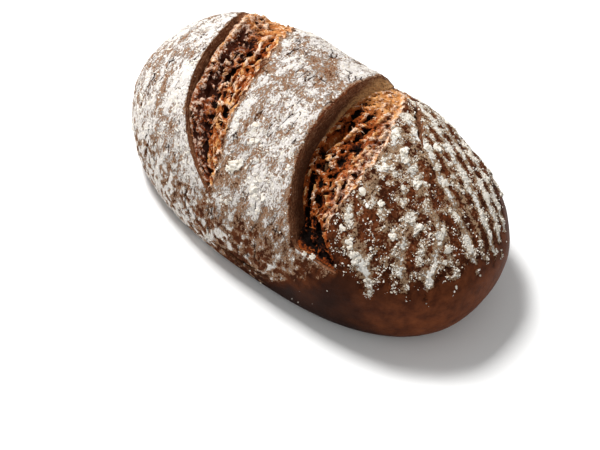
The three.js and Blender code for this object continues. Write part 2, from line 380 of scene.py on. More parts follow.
RIGHT_SCORE = Score(
    side=Side.RIGHT,
    lip=SkinLine(top=3.1, drift=-1.8, near_swing=33.7, near_from=57.0, near_bend=0.5),
    tear=SkinLine(
        top=44.7, drift=0.0, near_swing=42.0, near_from=36.0, near_bend=0.12,
        far_swing=-12.0, far_from=70.0, far_bend=0.3,
    ),
    near_turn=16.5,
    far_turn=156.0,
    near_fade=3.0,
    crumb_fade=12.0,
    wall_depth=13.5,
    far_depth=0.4,
    seed=11,
    bulge=4.6,
    slant=0.6,
    crosswise=1.0,
    folds=(
        Fold(0.18, 0.08, -3.0, 66.0, 40.0),
        Fold(0.36, 0.10, 3.0, 74.0, 34.0),
        Fold(0.54, 0.10, -1.8, 66.0, 40.0),
        Fold(0.70, 0.12, 1.6, 80.0, 50.0),
    ),
    bubbles=(
        Bubble(0.17, 83.0, 12.0, 4.0, 7.5),
        Bubble(0.26, 93.0, 5.0, 2.6, 3.6),
        Bubble(0.30, 64.0, 5.0, 3.2, 4.2),
        Bubble(0.37, 54.0, 6.0, 3.2, 4.2),
        Bubble(0.44, 45.0, 5.0, 3.2, 4.0),
        Bubble(0.16, 33.0, 6.0, 2.6, 3.6),
    ),
)


@dataclass(frozen=True)
class Swelling:
    """A broad swelling or hollow that the oven left in the form."""

    x: float
    turn: float
    reach_x: float
    reach_turn: float
    rise: float


@dataclass(frozen=True)
class LoafForm:
    """The rounded oval form that every piece of the loaf is laid on."""

    length: float = 262.0
    width: float = 150.6
    height: float = 103.5
    girth_height: float = 31.9
    belly_depth: float = 61.0
    plan_power: float = 2.4
    section_power: float = 2.32
    widening: float = 0.056
    sinking: float = 0.264
    base_edge: float = 7.0
    swell: float = 0.7
    ear_rise: float = 1.6
    ear_spread: float = 10.0
    roll_drop: float = 1.4
    roll_spread: float = 8.0
    scores: tuple[Score, ...] = (LEFT_SCORE, RIGHT_SCORE)
    swellings: tuple[Swelling, ...] = (
        Swelling(-6.0, 130.0, 32.0, 30.0, -2.7),
        Swelling(44.0, 140.0, 26.0, 26.0, 1.6),
    )

    def sized(self, along: Array, y: Array, up: Array) -> Array:
        """Gives a place of the unit form its real size.

        Args:
            along: from -1 to 1 along the loaf.
            y: from -1 to 1 across it.
            up: above 0 over the widest ring and below 0 under it.

        Returns:
            Places in millimetres, coordinates last.
        """
        height = self.height - self.girth_height
        upper = self.girth_height + up * height * (1.0 - self.sinking * along)
        lower = self.girth_height + up * self.belly_depth
        x = along * self.length / 2.0
        y = y * self.width / 2.0 * (1.0 + self.widening * along)
        return np.stack([x, y, np.where(up > 0.0, upper, lower)], axis=-1)

    def outside(self, points: Array) -> Array:
        """Tells where points lie against the plain form.

        Args:
            points: places in millimetres.

        Returns:
            Zero on it, above zero outside it and below zero inside it.
        """
        along = points[..., 0] / (self.length / 2.0)
        y = points[..., 1] / (self.width / 2.0 * (1.0 + self.widening * along))
        rise = points[..., 2] - self.girth_height
        height = (self.height - self.girth_height) * (1.0 - self.sinking * along)
        reach = np.where(rise > 0.0, height, self.belly_depth)
        plan = np.abs(along) ** self.plan_power + np.abs(y) ** self.plan_power
        upright = np.abs(rise / reach) ** self.section_power
        return plan ** (self.section_power / self.plan_power) + upright - 1.0

    def slope(self, points: Array) -> Array:
        """How fast outside() grows along each axis.

        Args:
            points: places in millimetres.

        Returns:
            Its growth for a millimetre along X, Y and Z, last in the array.
        """
        step = 0.05
        value = self.outside(points)
        return np.stack(
            [(self.outside(points + step * axis) - value) / step for axis in np.eye(3)], axis=-1
        )

    def outward(self, points: Array) -> Array:
        """The unit direction straight out of the plain form."""
        slope = self.slope(points)
        return slope / np.linalg.norm(slope, axis=-1, keepdims=True)

    def height_over(self, points: Array) -> Array:
        """About how far points lie out of the plain form, below zero inside it."""
        return self.outside(points) / np.linalg.norm(self.slope(points), axis=-1)

    def place(self, x: Array, turn: Array) -> Array:
        """The place (x, turn) on the plain form.

        Args:
            x: how far along the loaf.
            turn: the turn round it.

        Returns:
            Places in millimetres, coordinates last.
        """
        along = x / (self.length / 2.0)
        widest = (1.0 - np.abs(along) ** self.plan_power) ** (1.0 / self.plan_power)
        y = -widest * np.cos(np.radians(turn))
        plan = np.abs(along) ** self.plan_power + np.abs(y) ** self.plan_power
        up = np.maximum(1.0 - plan ** (self.section_power / self.plan_power), 0.0)
        up = up ** (1.0 / self.section_power)
        return self.sized(along, y, np.where((turn < 0.0) | (turn > 180.0), -up, up))

    def turn_of(self, points: Array) -> Array:
        """The turn of points on the plain form.

        Args:
            points: places in millimetres.

        Returns:
            Degrees, below 0 or over 180 under the widest ring.
        """
        along = np.clip(points[..., 0] / (self.length / 2.0), -0.9999, 0.9999)
        widest = (1.0 - np.abs(along) ** self.plan_power) ** (1.0 / self.plan_power)
        share = -points[..., 1] / (widest * self.width / 2.0 * (1.0 + self.widening * along))
        turn = np.degrees(np.arccos(np.clip(share, -1.0, 1.0)))
        below = np.where(points[..., 1] < 0.0, -turn, 360.0 - turn)
        return np.where(points[..., 2] < self.girth_height, below, turn)

    def relief(self, points: Array) -> Array:
        """How far the real skin stands out from the plain form at points.

        Args:
            points: places in millimetres.

        Returns:
            Millimetres, below zero where the skin is sunk.
        """
        x, y, z = points[..., 0], points[..., 1], points[..., 2]
        out = self.swell * (noise(x / 31.0, y / 27.0, 5) + 0.5 * noise(x / 14.0, y / 13.0, 7))
        out = out * ease(z / 20.0)
        upper = (np.abs(x) < 0.45 * self.length) & (z > self.girth_height)
        turn = self.turn_of(points)
        formed = np.zeros_like(out)
        for score in self.scores:
            lip, tear = score.opening(turn)
            open_ = score.openness(turn)
            formed += self.ear_rise * open_ * bell((x - lip) / self.ear_spread)
            formed -= self.roll_drop * open_ * bell((x - tear) / self.roll_spread)
        for s in self.swellings:
            formed += s.rise * bell((x - s.x) / s.reach_x) * bell((turn - s.turn) / s.reach_turn)
        return out + np.where(upper, formed, 0.0)

    def on_skin(self, x: Array, turn: Array, out: Array) -> Array:
        """The place (x, turn) on the real skin, moved out by a distance."""
        points = self.place(x, turn)
        return points + self.outward(points) * (self.relief(points) + out)[..., None]

    def rest_on_base(self, z: Array) -> Array:
        """Flattens heights below the base, with a rounded edge."""
        edge = self.base_edge
        rounded = np.where(z < -edge, 0.0, (z + edge) ** 2 / (4.0 * edge))
        return np.where(z > edge, z, rounded)


# -------- Blender helpers


def make_mesh(name: str, points: Array, faces: Array) -> Mesh:
    """Makes a mesh from arrays.

    Args:
        name: the mesh's name.
        points: places in metres, one row each.
        faces: vertex numbers, one row for each face, all with the same count.

    Returns:
        The mesh.
    """
    mesh = bpy.data.meshes.new(name)
    mesh.vertices.add(len(points))
    mesh.vertices.foreach_set("co", points.astype(np.float32).ravel())
    mesh.loops.add(faces.size)
    mesh.loops.foreach_set("vertex_index", faces.astype(np.int32).ravel())
    mesh.polygons.add(len(faces))
    starts = np.arange(len(faces), dtype=np.int32) * faces.shape[1]
    mesh.polygons.foreach_set("loop_start", starts)
    mesh.update(calc_edges=True)
    return mesh


def link(name: str, data: bpy.types.ID) -> Object:
    """Puts a mesh, a light or a camera in the scene as an object at the origin."""
    made = bpy.data.objects.new(name, data)
    bpy.context.scene.collection.objects.link(made)
    return made


def baked(made: Object) -> Mesh:
    """The mesh of an object with its modifiers applied."""
    depsgraph = bpy.context.evaluated_depsgraph_get()
    return bpy.data.meshes.new_from_object(made.evaluated_get(depsgraph), depsgraph=depsgraph)


def remove(made: Object) -> None:
    """Takes an object and its mesh out of the file."""
    mesh = made.data
    bpy.data.objects.remove(made)
    bpy.data.meshes.remove(mesh)


def coordinates(mesh: Mesh) -> Array:
    """The places of a mesh's vertices in metres, one row each."""
    points = np.empty(len(mesh.vertices) * 3, np.float32)
    mesh.vertices.foreach_get("co", points)
    return points.reshape(-1, 3).astype(float)


def set_attribute(mesh: Mesh, name: str, values: Array) -> None:
    """Stores a number, or a vector, for each vertex under a name."""
    kind, key = ("FLOAT", "value") if values.ndim == 1 else ("FLOAT_VECTOR", "vector")
    attribute = mesh.attributes.new(name, kind, "POINT")
    attribute.data.foreach_set(key, values.astype(np.float32).ravel())


def shade(mesh: Mesh, crease_degrees: float) -> None:
    """Shades a mesh smooth, with edges sharper than an angle kept crisp."""
    mesh.shade_smooth()
    mesh.set_sharp_from_angle(angle=math.radians(crease_degrees))


def linear(colour: str) -> tuple[float, float, float, float]:
    """Turns an sRGB hex colour into the linear values that a shader takes."""
    parts = [int(colour[i : i + 2], 16) / 255.0 for i in (1, 3, 5)]
    curve = [c / 12.92 if c <= 0.04045 else ((c + 0.055) / 1.055) ** 2.4 for c in parts]
    return (*curve, 1.0)


def add_node(
    tree: Tree, kind: str, inputs: dict | tuple = (), output: int | str = 0, **settings: object
) -> Socket | None:
    """Adds a node with its settings, values and links.

    Args:
        tree: the node tree.
        kind: the node's type.
        inputs: what goes into its inputs, in their order or by name or number: a value, an
            sRGB hex colour or the output that feeds it.
        output: the output that is wanted, by name or number.
        settings: the node's own properties.

    Returns:
        That output, or nothing if the node has none.
    """
    node = tree.nodes.new(kind)
    for name, value in settings.items():
        setattr(node, name, value)
    for key, value in inputs.items() if isinstance(inputs, dict) else enumerate(inputs):
        if isinstance(value, Socket):
            tree.links.new(value, node.inputs[key])
        elif isinstance(value, str) and value.startswith("#"):
            node.inputs[key].default_value = linear(value)
        else:
            node.inputs[key].default_value = value
    return node.outputs[output] if node.outputs else None


# -------- finishes


@dataclass(frozen=True)
class Look:
    """What a finish gives the eye: layers of colour, fine relief and gloss."""

    ground: str
    layers: tuple[tuple[Socket, str | Socket], ...]
    height: Socket
    relief_mm: float
    roughness: float | Socket
    specular: float
    strength: float | Socket = 1.0
    ior: float = 1.5


@dataclass(frozen=True)
class Finish:
    """A finish of the loaf, worked out at each place of a piece in millimetres."""

    name: str

    def look(self, tree: Tree, mm: Socket) -> Look:
        """The look of the finish.

        Args:
            tree: the material's node tree.
            mm: the place on the piece in millimetres.

        Returns:
            The look, with its nodes in the tree.
        """
        raise NotImplementedError

    def build(self) -> Material:
        """Makes the material.

        Returns:
            The material, with all its nodes.
        """
        material = bpy.data.materials.new(self.name)
        material.use_nodes = True
        tree = material.node_tree
        tree.nodes.clear()
        place = add_node(tree, "ShaderNodeTexCoord", output="Object")
        mm = add_node(tree, VECTOR, (place, (1.0 / MM,) * 3), operation="MULTIPLY")
        look = self.look(tree, mm)
        colour = look.ground
        for share, over in look.layers:
            colour = add_node(tree, MIX, {0: share, 6: colour, 7: over}, 2, data_type="RGBA")
        relief = {"Height": look.height, "Strength": look.strength, "Distance": look.relief_mm * MM}
        surface = {
            "Base Color": colour,
            "Roughness": look.roughness,
            "Normal": add_node(tree, "ShaderNodeBump", relief),
            "IOR": look.ior,
            "Specular IOR Level": look.specular,
        }
        shader = add_node(tree, "ShaderNodeBsdfPrincipled", surface)
        add_node(tree, "ShaderNodeOutputMaterial", (shader,))
        return material


@dataclass(frozen=True)
class FlouredCrust(Finish):
    """Dark rye crust dusted with flour: matt and mealy, brown where the flour flaked off.

    The dough was rolled in flour before it proved.  The crust grew in the oven and pulled
    the flour apart, so tan and brown show between white islands.  At the right end the
    basket's cane pressed the flour into hard crumbs on a darker, redder crust.  Where the
    crust is bare it is smoother and has a faint gloss.
    """

    name: str = "baked rye crust with flour"
    deep_brown: str = "#200c05"
    brown: str = "#431f0f"
    warm_brown: str = "#6f3b20"
    tan_flour: str = "#a98569"
    olive_flour: str = "#957a60"
    white_flour: str = "#e9e2dc"
    crisp_flour: str = "#dedad3"
    crack_brown: str = "#3d1f10"
    patch_mm: float = 7.0
    # Real flour is finer than these two: it is drawn as coarse as it needs to show.
    speck_mm: float = 1.5
    grain_mm: float = 1.7
    mottle_mm: float = 8.0
    drawn_out: float = 1.9
    relief_mm: float = 1.6
    # The amounts of flour from which it is thin and white, and those at which it is so all
    # over: for soft dust, and for crisp crumbs.
    thin_from: float = 1.69
    thin_full: tuple[float, float] = (1.93, 1.76)
    thin_most: float = 0.94
    white_from: float = 2.02
    white_full: tuple[float, float] = (2.2, 2.1)
    crack_half: float = 0.18
    crack_edge: float = 0.22

    def look(self, tree: Tree, mm: Socket) -> Look:
        """The look of the finish.

        Args:
            tree: its node tree.
            mm: the place in millimetres.

        Returns:
            The look.
        """
        flour, bare, crisp, bake, split, seam = (
            add_node(tree, ATTRIBUTE, output="Fac", attribute_name=name)
            for name in ("flour", "bare", "crisp", "bake", "split", "seam")
        )
        drawn = add_node(tree, VECTOR, (mm, (self.drawn_out, 1.0, 1.0)), operation="MULTIPLY")
        names = ("Vector", "Scale", "Detail", "Roughness", "Distortion")
        patch, speck, meal, ground = (
            add_node(tree, NOISE, dict(zip(names, values)))
            for values in (
                (drawn, 1.0 / self.patch_mm, 5.0, 0.62, 0.4),
                (drawn, 1.0 / self.speck_mm, 3.0, 0.75, 0.0),
                (mm, 1.0 / self.grain_mm, 3.0, 0.72, 0.0),
                (mm, 1.0 / self.mottle_mm, 5.0, 0.55, 0.0),
            )
        )
        texture = add_node(tree, MIX, {0: crisp, 2: speck, 3: meal})

        # How much flour: what was laid on, more or less by patches and by specks.
        evened = add_node(tree, MATH, (crisp, 0.6), operation="MULTIPLY")
        cloud = add_node(tree, MIX, {0: evened, 2: patch, 3: 0.5})
        amount = flour
        for wave, weight in ((cloud, 1.3), (texture, 1.6)):
            amount = add_node(tree, MATH, (wave, weight, amount), operation="MULTIPLY_ADD")
        white, thin = (
            add_node(
                tree,
                RANGE,
                (amount, start, add_node(tree, RANGE, {0: crisp, 3: soft, 4: hard}), 0.0, most),
                interpolation_type="SMOOTHSTEP",
            )
            for start, (soft, hard), most in (
                (self.white_from, self.white_full, 1.0),
                (self.thin_from, self.thin_full, self.thin_most),
            )
        )

        # Jagged hairline cracks where the crust crazed as it cooled.
        off_line = add_node(tree, MATH, (seam,), operation="ABSOLUTE")
        jagged = add_node(tree, MATH, (speck, 0.3, off_line), operation="MULTIPLY_ADD")
        narrow = add_node(tree, RANGE, (jagged, self.crack_half, self.crack_edge, 0.95, 0.0))
        crack = add_node(tree, MATH, (narrow, split), operation="MULTIPLY")

        # The crust itself is mottled, and less so where it is bare.
        calm = add_node(tree, MATH, (bare, 0.4), operation="MULTIPLY")
        even_ground = add_node(tree, MIX, {0: calm, 2: ground, 3: 0.5})
        mottle = add_node(tree, RANGE, (even_ground, 0.38, 0.62))

        # Between the hard crumbs of flour it is pitted and darker.
        pitted = add_node(tree, RANGE, (texture, 0.5, 0.4, 0.0, 0.75))
        crisp_pits = add_node(tree, MATH, (pitted, crisp), operation="MULTIPLY")
        covered = add_node(tree, MATH, (bare, -0.85, 1.0), operation="MULTIPLY_ADD")
        pits = add_node(tree, MATH, (crisp_pits, covered), operation="MULTIPLY")

        dust, powder = (
            add_node(tree, MIX, {0: crisp, 6: soft, 7: hard}, 2, data_type="RGBA")
            for soft, hard in (
                (self.tan_flour, self.olive_flour), (self.white_flour, self.crisp_flour),
            )
        )
        height = texture
        for wave, weight in ((white, 0.9), (patch, 1.6), (crack, -0.5)):
            height = add_node(tree, MATH, (wave, weight, height), operation="MULTIPLY_ADD")
        return Look(
            ground=self.brown,
            layers=(
                (mottle, self.warm_brown),
                # The crust's own darker bake, with painted shadow to the left and painted light at
                # the right end of its bare part.
                (bake, self.deep_brown),
                (pits, self.deep_brown),
                (thin, dust),
                (white, powder),
                (crack, self.crack_brown),
            ),
            height=height,
            relief_mm=self.relief_mm,
            strength=add_node(tree, RANGE, {0: bare, 3: 1.0, 4: 0.22}),
            roughness=add_node(tree, RANGE, {0: bare, 3: 0.88, 4: 0.5}),
            specular=0.04,
            ior=1.45,
        )


@dataclass(frozen=True)
class BladeCut(Finish):
    """Rye dough cut by a blade and baked: dull and mealy brown, drawn out along the cut, with
    painted shade that darkens it deeper in the cut.
    """

    name: str = "blade-cut rye crust"
    deep_brown: str = "#3b1e10"
    dark_brown: str = "#5a3320"
    brown: str = "#8b5c3f"
    pale: str = "#b58f70"
    toasted: str = "#cfa06c"
    depth_mm: float = 11.0
    relief_mm: float = 1.3
    streak_scale: Triple = (0.16, 0.9, 1.0)
    meal_scale: float = 0.75
    # Painted shade: the cut is darker the deeper it goes, most at its near end, which faces down
    # and away from the light.
    shade_run: tuple[float, float] = (25.0, 150.0)
    shade_strength: tuple[float, float] = (0.95, 0.38)

    def look(self, tree: Tree, mm: Socket) -> Look:
        """The look of the finish.

        Args:
            tree: its node tree.
            mm: the place in millimetres.

        Returns:
            The look.
        """
        depth, run, toast = (
            add_node(tree, ATTRIBUTE, output="Fac", attribute_name=name)
            for name in ("depth", "run", "toast")
        )
        place = add_node(tree, "ShaderNodeCombineXYZ", (run, depth, 0.0))
        drawn = add_node(tree, VECTOR, (place, self.streak_scale), operation="MULTIPLY")
        streaks, meal = (
            add_node(tree, NOISE, {"Vector": at, "Scale": scale, "Detail": 5.0, "Roughness": 0.7})
            for at, scale in ((drawn, 1.0), (mm, self.meal_scale))
        )
        both = add_node(tree, MATH, (meal, 1.0, streaks), operation="MULTIPLY_ADD")
        deepest_shade = add_node(tree, RANGE, (run, *self.shade_run, *self.shade_strength))
        # Painted shade: darker deeper in the cut, most at its near end.
        sunk = add_node(
            tree,
            RANGE,
            (depth, 0.2 * self.depth_mm, self.depth_mm, 0.0, deepest_shade),
            interpolation_type="SMOOTHSTEP",
        )
        mealy, floury, streaked = (
            add_node(tree, RANGE, (both, low, high))
            for low, high in ((0.84, 1.08), (1.06, 1.24), (0.7, 1.1))
        )
        tan = add_node(tree, MATH, (toast, streaked), operation="MULTIPLY")
        return Look(
            ground=self.dark_brown,
            layers=(
                (mealy, self.brown),
                (floury, self.pale),
                (sunk, self.deep_brown),
                (tan, self.toasted),
            ),
            height=both,
            relief_mm=self.relief_mm,
            roughness=0.78,
            specular=0.05,
        )


@dataclass(frozen=True)
class TornCrumbFinish(Finish):
    """Rye crumb torn open and baked dry: rust brown strands over hollows painted near black as
    shade.

    The strands that stand highest baked golden and are painted lighter still, as highlight.  Where
    the crumb tore off in fine fibres, and where the blade pressed it, it is paler.
    """

    name: str = "torn and baked rye crumb"
    hollow_shade: str = "#0b0301"
    brown: str = "#4d200e"
    rust: str = "#98481a"
    golden: str = "#c6864a"
    straw: str = "#dca468"
    pale: str = "#ecd2bc"
    # How many lumps of each noise there are to a millimetre.
    fine_scale: float = 0.8
    fleck_scale: float = 0.42
    broad_scale: float = 0.2
    relief_mm: float = 1.2

    def look(self, tree: Tree, mm: Socket) -> Look:
        """The look of the finish.

        Args:
            tree: its node tree.
            mm: the place in millimetres.

        Returns:
            The look.
        """
        proud_and_shade, pale, gold = (
            add_node(tree, ATTRIBUTE, output="Fac", attribute_name=name)
            for name in ("proud_and_shade", "pale", "gold")
        )
        fine, flecks, broad = (
            add_node(tree, NOISE, {"Vector": mm, "Scale": scale, "Detail": 5.0, "Roughness": 0.65})
            for scale in (self.fine_scale, self.fleck_scale, self.broad_scale)
        )
        # Painted shade and light: the colour runs from near black where the crumb lies deep and
        # enclosed to golden and pale where it stands out.
        height = add_node(tree, MATH, (fine, 0.9, proud_and_shade), operation="MULTIPLY_ADD")
        rusty = add_node(tree, MATH, (broad, 0.8, height), operation="MULTIPLY_ADD")
        filled, rust, warm, tip, lit, fleck, airy = (
            add_node(tree, RANGE, bounds, interpolation_type="SMOOTHSTEP")
            for bounds in (
                (height, 0.62, 0.92), (rusty, 1.14, 1.46), (height, 1.08, 1.6),
                (height, 1.28, 1.66), (height, 0.7, 1.02), (flecks, 0.48, 0.57),
                (broad, 0.44, 0.56),
            )
        )
        unpressed = add_node(tree, MATH, (pale, -0.65, 1.0), operation="MULTIPLY_ADD")
        far, far_tip, fibrous, airy_tip, bare_rust, pressed = (
            add_node(tree, MATH, pair, operation="MULTIPLY")
            for pair in (
                (gold, lit), (gold, warm), (pale, lit), (airy, tip), (rust, unpressed), (pale, 0.5),
            )
        )
        fibres = add_node(tree, MATH, (fibrous, fleck), operation="MULTIPLY")
        brown = add_node(tree, MATH, (filled, pressed), operation="MAXIMUM")
        return Look(
            ground=self.hollow_shade,
            layers=(
                (brown, self.brown),
                (bare_rust, self.rust),
                (warm, self.golden),
                (far, self.golden),
                (far_tip, self.straw),
                (tip, self.straw),
                (airy_tip, self.pale),
                (fibres, self.pale),
            ),
            height=fine,
            relief_mm=self.relief_mm,
            roughness=0.65,
            specular=0.06,
        )


@dataclass(frozen=True)
class DryFlour(Finish):
    """Dry rye flour in loose clumps: chalky, quite white and without any gloss."""

    name: str = "dry rye flour"
    white: str = "#e6e1d9"
    cream: str = "#cfc5b4"
    # How many lumps of each noise there are to a millimetre.
    mottle_scale: float = 0.5
    meal_scale: float = 2.2
    relief_mm: float = 0.3

    def look(self, tree: Tree, mm: Socket) -> Look:
        """The look of the finish.

        Args:
            tree: its node tree.
            mm: the place in millimetres.

        Returns:
            The look.
        """
        mottle, meal = (
            add_node(tree, NOISE, {"Vector": mm, "Scale": scale, "Detail": detail})
            for scale, detail in ((self.mottle_scale, 3.0), (self.meal_scale, 2.0))
        )
        return Look(
            ground=self.cream,
            layers=((add_node(tree, RANGE, (mottle, 0.35, 0.65)), self.white),),
            height=meal,
            relief_mm=self.relief_mm,
            strength=0.6,
            roughness=0.95,
            specular=0.2,
        )


# -------- where the flour lies


@dataclass(frozen=True)
class Coil:
    """One turn of the proving basket's cane: where it pressed, how wide and how hard."""

    at: float
    wide: float
    rich: float


@dataclass(frozen=True)
class Heap:
    """A long heap of flour: its two ends, how wide it is and how much lies there."""

    start: Triple
    end: Triple
    wide: float
    rich: float

    def share(self, points: Array) -> Array:
        """How much of the heap lies at points.

        Args:
            points: places in millimetres.

        Returns:
            From 0 away from the heap to 1 along its middle.
        """
        start = np.array(self.start)
        course = np.array(self.end) - start
        at = np.clip(((points - start) @ course) / (course @ course), 0.0, 1.0)
        away = points - start - at[..., None] * course
        return bell(np.sqrt((away**2).sum(axis=-1)) / self.wide)


@dataclass(frozen=True)
class Spots:
    """Places on the crust, and the noise there that every layer of flour shares."""

    x: Array
    z: Array
    turn: Array
    right: Array
    stripe: Array
    broad: Array
    middling: Array
    small: Array
    gathered: Array
    flecked: Array


@dataclass(frozen=True)
class Flouring:
    """Where flour lies on the crust, how the crust baked under it, and the painted shade and light
    on its bare part.
    """

    form: LoafForm
    heaps: tuple[Heap, ...] = (
        Heap((59.5, -58.5, 71.0), (77.0, -61.0, 59.0), 3.0, 0.55),
        Heap((38.6, -71.0, 56.0), (57.5, -68.0, 58.0), 3.2, 0.5),
        Heap((-19.7, -61.5, 79.5), (-16.9, -57.0, 85.0), 3.6, 0.4),
        Heap((-2.0, -66.0, 73.0), (6.6, -71.0, 62.0), 2.6, 0.4),
        Heap((52.0, -14.0, 92.0), (42.3, 12.0, 95.0), 3.0, 0.35),
        Heap((101.0, -20.0, 74.0), (108.0, -40.0, 60.0), 2.6, 0.5),
        Heap((50.0, 36.8, 87.7), (60.0, 7.5, 90.1), 10.0, 0.2),
        Heap((-21.5, -66.1, 71.7), (-17.0, -57.1, 84.8), 10.0, -0.3),
        Heap((84.0, -36.0, 76.0), (96.0, -50.0, 62.0), 2.6, 0.4),
    )
    coil_heading: float = 65.0
    coils: tuple[Coil, ...] = tuple(
        Coil(*row)
        for row in (
            (-58.0, 4.0, 0.5), (-40.0, 4.0, 0.6), (-22.0, 3.6, 0.9), (-5.0, 3.6, 0.55),
            (10.0, 3.6, 0.6), (25.5, 4.2, 0.75), (33.5, 2.4, -0.1), (41.5, 2.8, 1.2),
            (46.5, 2.0, -0.15), (50.5, 2.0, 0.7), (54.0, 1.8, -0.15), (58.5, 2.6, 1.25),
            (63.0, 2.0, -0.2), (67.5, 2.4, 1.1), (71.5, 1.8, -0.25), (76.0, 2.8, 1.1),
            (82.0, 2.6, -0.25), (88.0, 2.6, 0.9),
        )
    )
    # Along the loaf, by x.
    past_tear: Slope = Slope(-4.0, 6.0)
    left_half: Slope = Slope(10.0, -50.0)
    left_flank: Slope = Slope(-6.0, -34.0)
    left_end: Slope = Slope(-70.0, -25.0)
    before_end: Slope = Slope(82.0, -25.0)
    bare_less: Slope = Slope(64.0, -66.0)
    # Painted shadow that darkens the bare crust left of about x = 104 mm, and painted light that
    # brightens it at the right end.
    painted_shadow_left: Slope = Slope(104.0, -44.0)
    painted_light_end: Slope = Slope(94.0, 26.0)
    sprinkled_x: Hump = Hump(-8.0, 18.0)
    # Round the loaf, by turn.
    sprinkled_turn: Hump = Hump(46.0, 18.0)
    # Up the loaf, by height.
    upper: Slope = Slope(40.0, 50.0)
    flecked_under: Slope = Slope(74.0, -50.0)
    flank: Slope = Slope(88.0, -20.0)
    rusty_over: Slope = Slope(60.0, 20.0)
    lying_from: float = -6.0
    lying_over: float = 34.0
    lying_left: float = 16.0
    # The height under which the crust is bare, and how softly the flour ends there: at the
    # left, and on the right end.
    limit: float = 58.0
    limit_fall: float = 60.0
    fade: tuple[float, float] = (28.0, 6.0)
    bare_flour: float = -0.9
    # Noise, made clots and flecks.
    clots: Slope = Slope(-0.1, 0.4)
    flecks: Slope = Slope(-0.2, 0.4)
    flaking: Slope = Slope(0.5, 0.4)
    ragged: float = 1.2
    tear_worn: float = 1.8
    lip_worn: float = 1.3

    def stripes(self, points: Array) -> Array:
        """Where the coils of the basket pressed the flour on.

        Args:
            points: places in millimetres.

        Returns:
            About 0 between the coils and 1 under them.
        """
        angle = math.radians(self.coil_heading)
        across = points[..., 0] * math.cos(angle) + points[..., 1] * math.sin(angle)
        across = across + 1.5 * grain(points, (12.0, 12.0, 12.0), 21)
        across = across + 0.7 * grain(points, (3.0, 3.0, 3.0), 22)
        return sum(coil.rich * bell((across - coil.at) / coil.wide) for coil in self.coils)

    def right_end(self, x: Array, turn: Array) -> Array:
        """1 beyond the right score, 0 before it."""
        score = self.form.scores[1]
        tear = score.opening(np.clip(turn, score.near_turn, score.far_turn))[1]
        return self.past_tear(x - tear)

    def spots(self, points: Array) -> Spots:
        """What the flour follows at places on the crust.

        Args:
            points: places in millimetres.

        Returns:
            The places, with the noise there.
        """
        x, turn = points[..., 0], self.form.turn_of(points)
        return Spots(
            x=x,
            z=points[..., 2],
            turn=turn,
            right=self.right_end(x, turn),
            stripe=self.stripes(points),
            broad=grain(points, (20.0, 30.0, 30.0), 31),
            middling=grain(points, (7.0, 13.0, 13.0), 32),
            small=grain(points, (2.8, 4.6, 4.6), 33),
            gathered=self.clots(grain(points, (3.0, 3.6, 3.6), 34)),
            flecked=self.flecks(grain(points, (1.9, 2.6, 2.6), 35)),
        )

    def dusting(self, at: Spots, lying: Array) -> Array:
        """The amount of soft dust left of the right score.

        Args:
            at: places on the crust.
            lying: from 0 low down, where little of it stayed, to 1.

        Returns:
            The amount there.
        """
        high = self.upper(at.z)
        left = self.left_half(at.x) * (1.0 - high)
        worn_far = self.left_end(at.x) * high
        soft = 0.1 + 0.34 * lying + 0.31 * high + 0.26 * left - 0.07 * worn_far
        soft = soft + 0.17 * at.broad + 0.17 * at.middling + 0.1 * at.small
        return soft + (0.3 * at.gathered + 0.5 * at.flecked - 0.42) * self.flecked_under(at.z)

    def caking(self, at: Spots) -> Array:
        """The amount of flour that the basket pressed on the right end."""
        basket = 0.2 + 0.5 * at.stripe + 0.1 * at.broad + 0.1 * at.middling + 0.2 * at.small
        basket = basket - 0.2 * self.before_end(at.x) * self.flank(at.z)
        return basket + 0.26 * at.gathered - 0.13

    def bareness(self, at: Spots) -> Array:
        """Where no flour is left, all along the base.

        Args:
            at: places on the crust.

        Returns:
            From 0 to 1 where the crust is bare.
        """
        edge = self.limit - 6.0 * np.clip(at.stripe, 0.0, 1.0) + 5.0 * at.middling
        edge = edge + 6.0 * at.small + 6.0 * at.broad + 7.0 * (1.0 - at.right)
        edge = edge - self.limit_fall * self.bare_less(at.x)
        return ease((edge - at.z) / lerp(*self.fade, at.right))

    def wear(self, at: Spots) -> Array:
        """Where the flour fell off the lips and the torn edges.

        Args:
            at: places on the crust.

        Returns:
            From 0 to 1 where it is gone.
        """
        worn = np.zeros_like(at.x)
        for score in self.form.scores:
            lip, tear = score.opening(at.turn)
            open_ = score.openness(at.turn)
            torn = bell((at.x - tear - 0.5) / self.tear_worn) * (1.0 - 0.5 * at.right)
            worn += 0.8 * open_ * torn
            worn += 1.2 * bell((at.x - lip) / self.lip_worn) * ease(open_ / 0.1)
        return np.clip(worn, 0.0, 1.0)

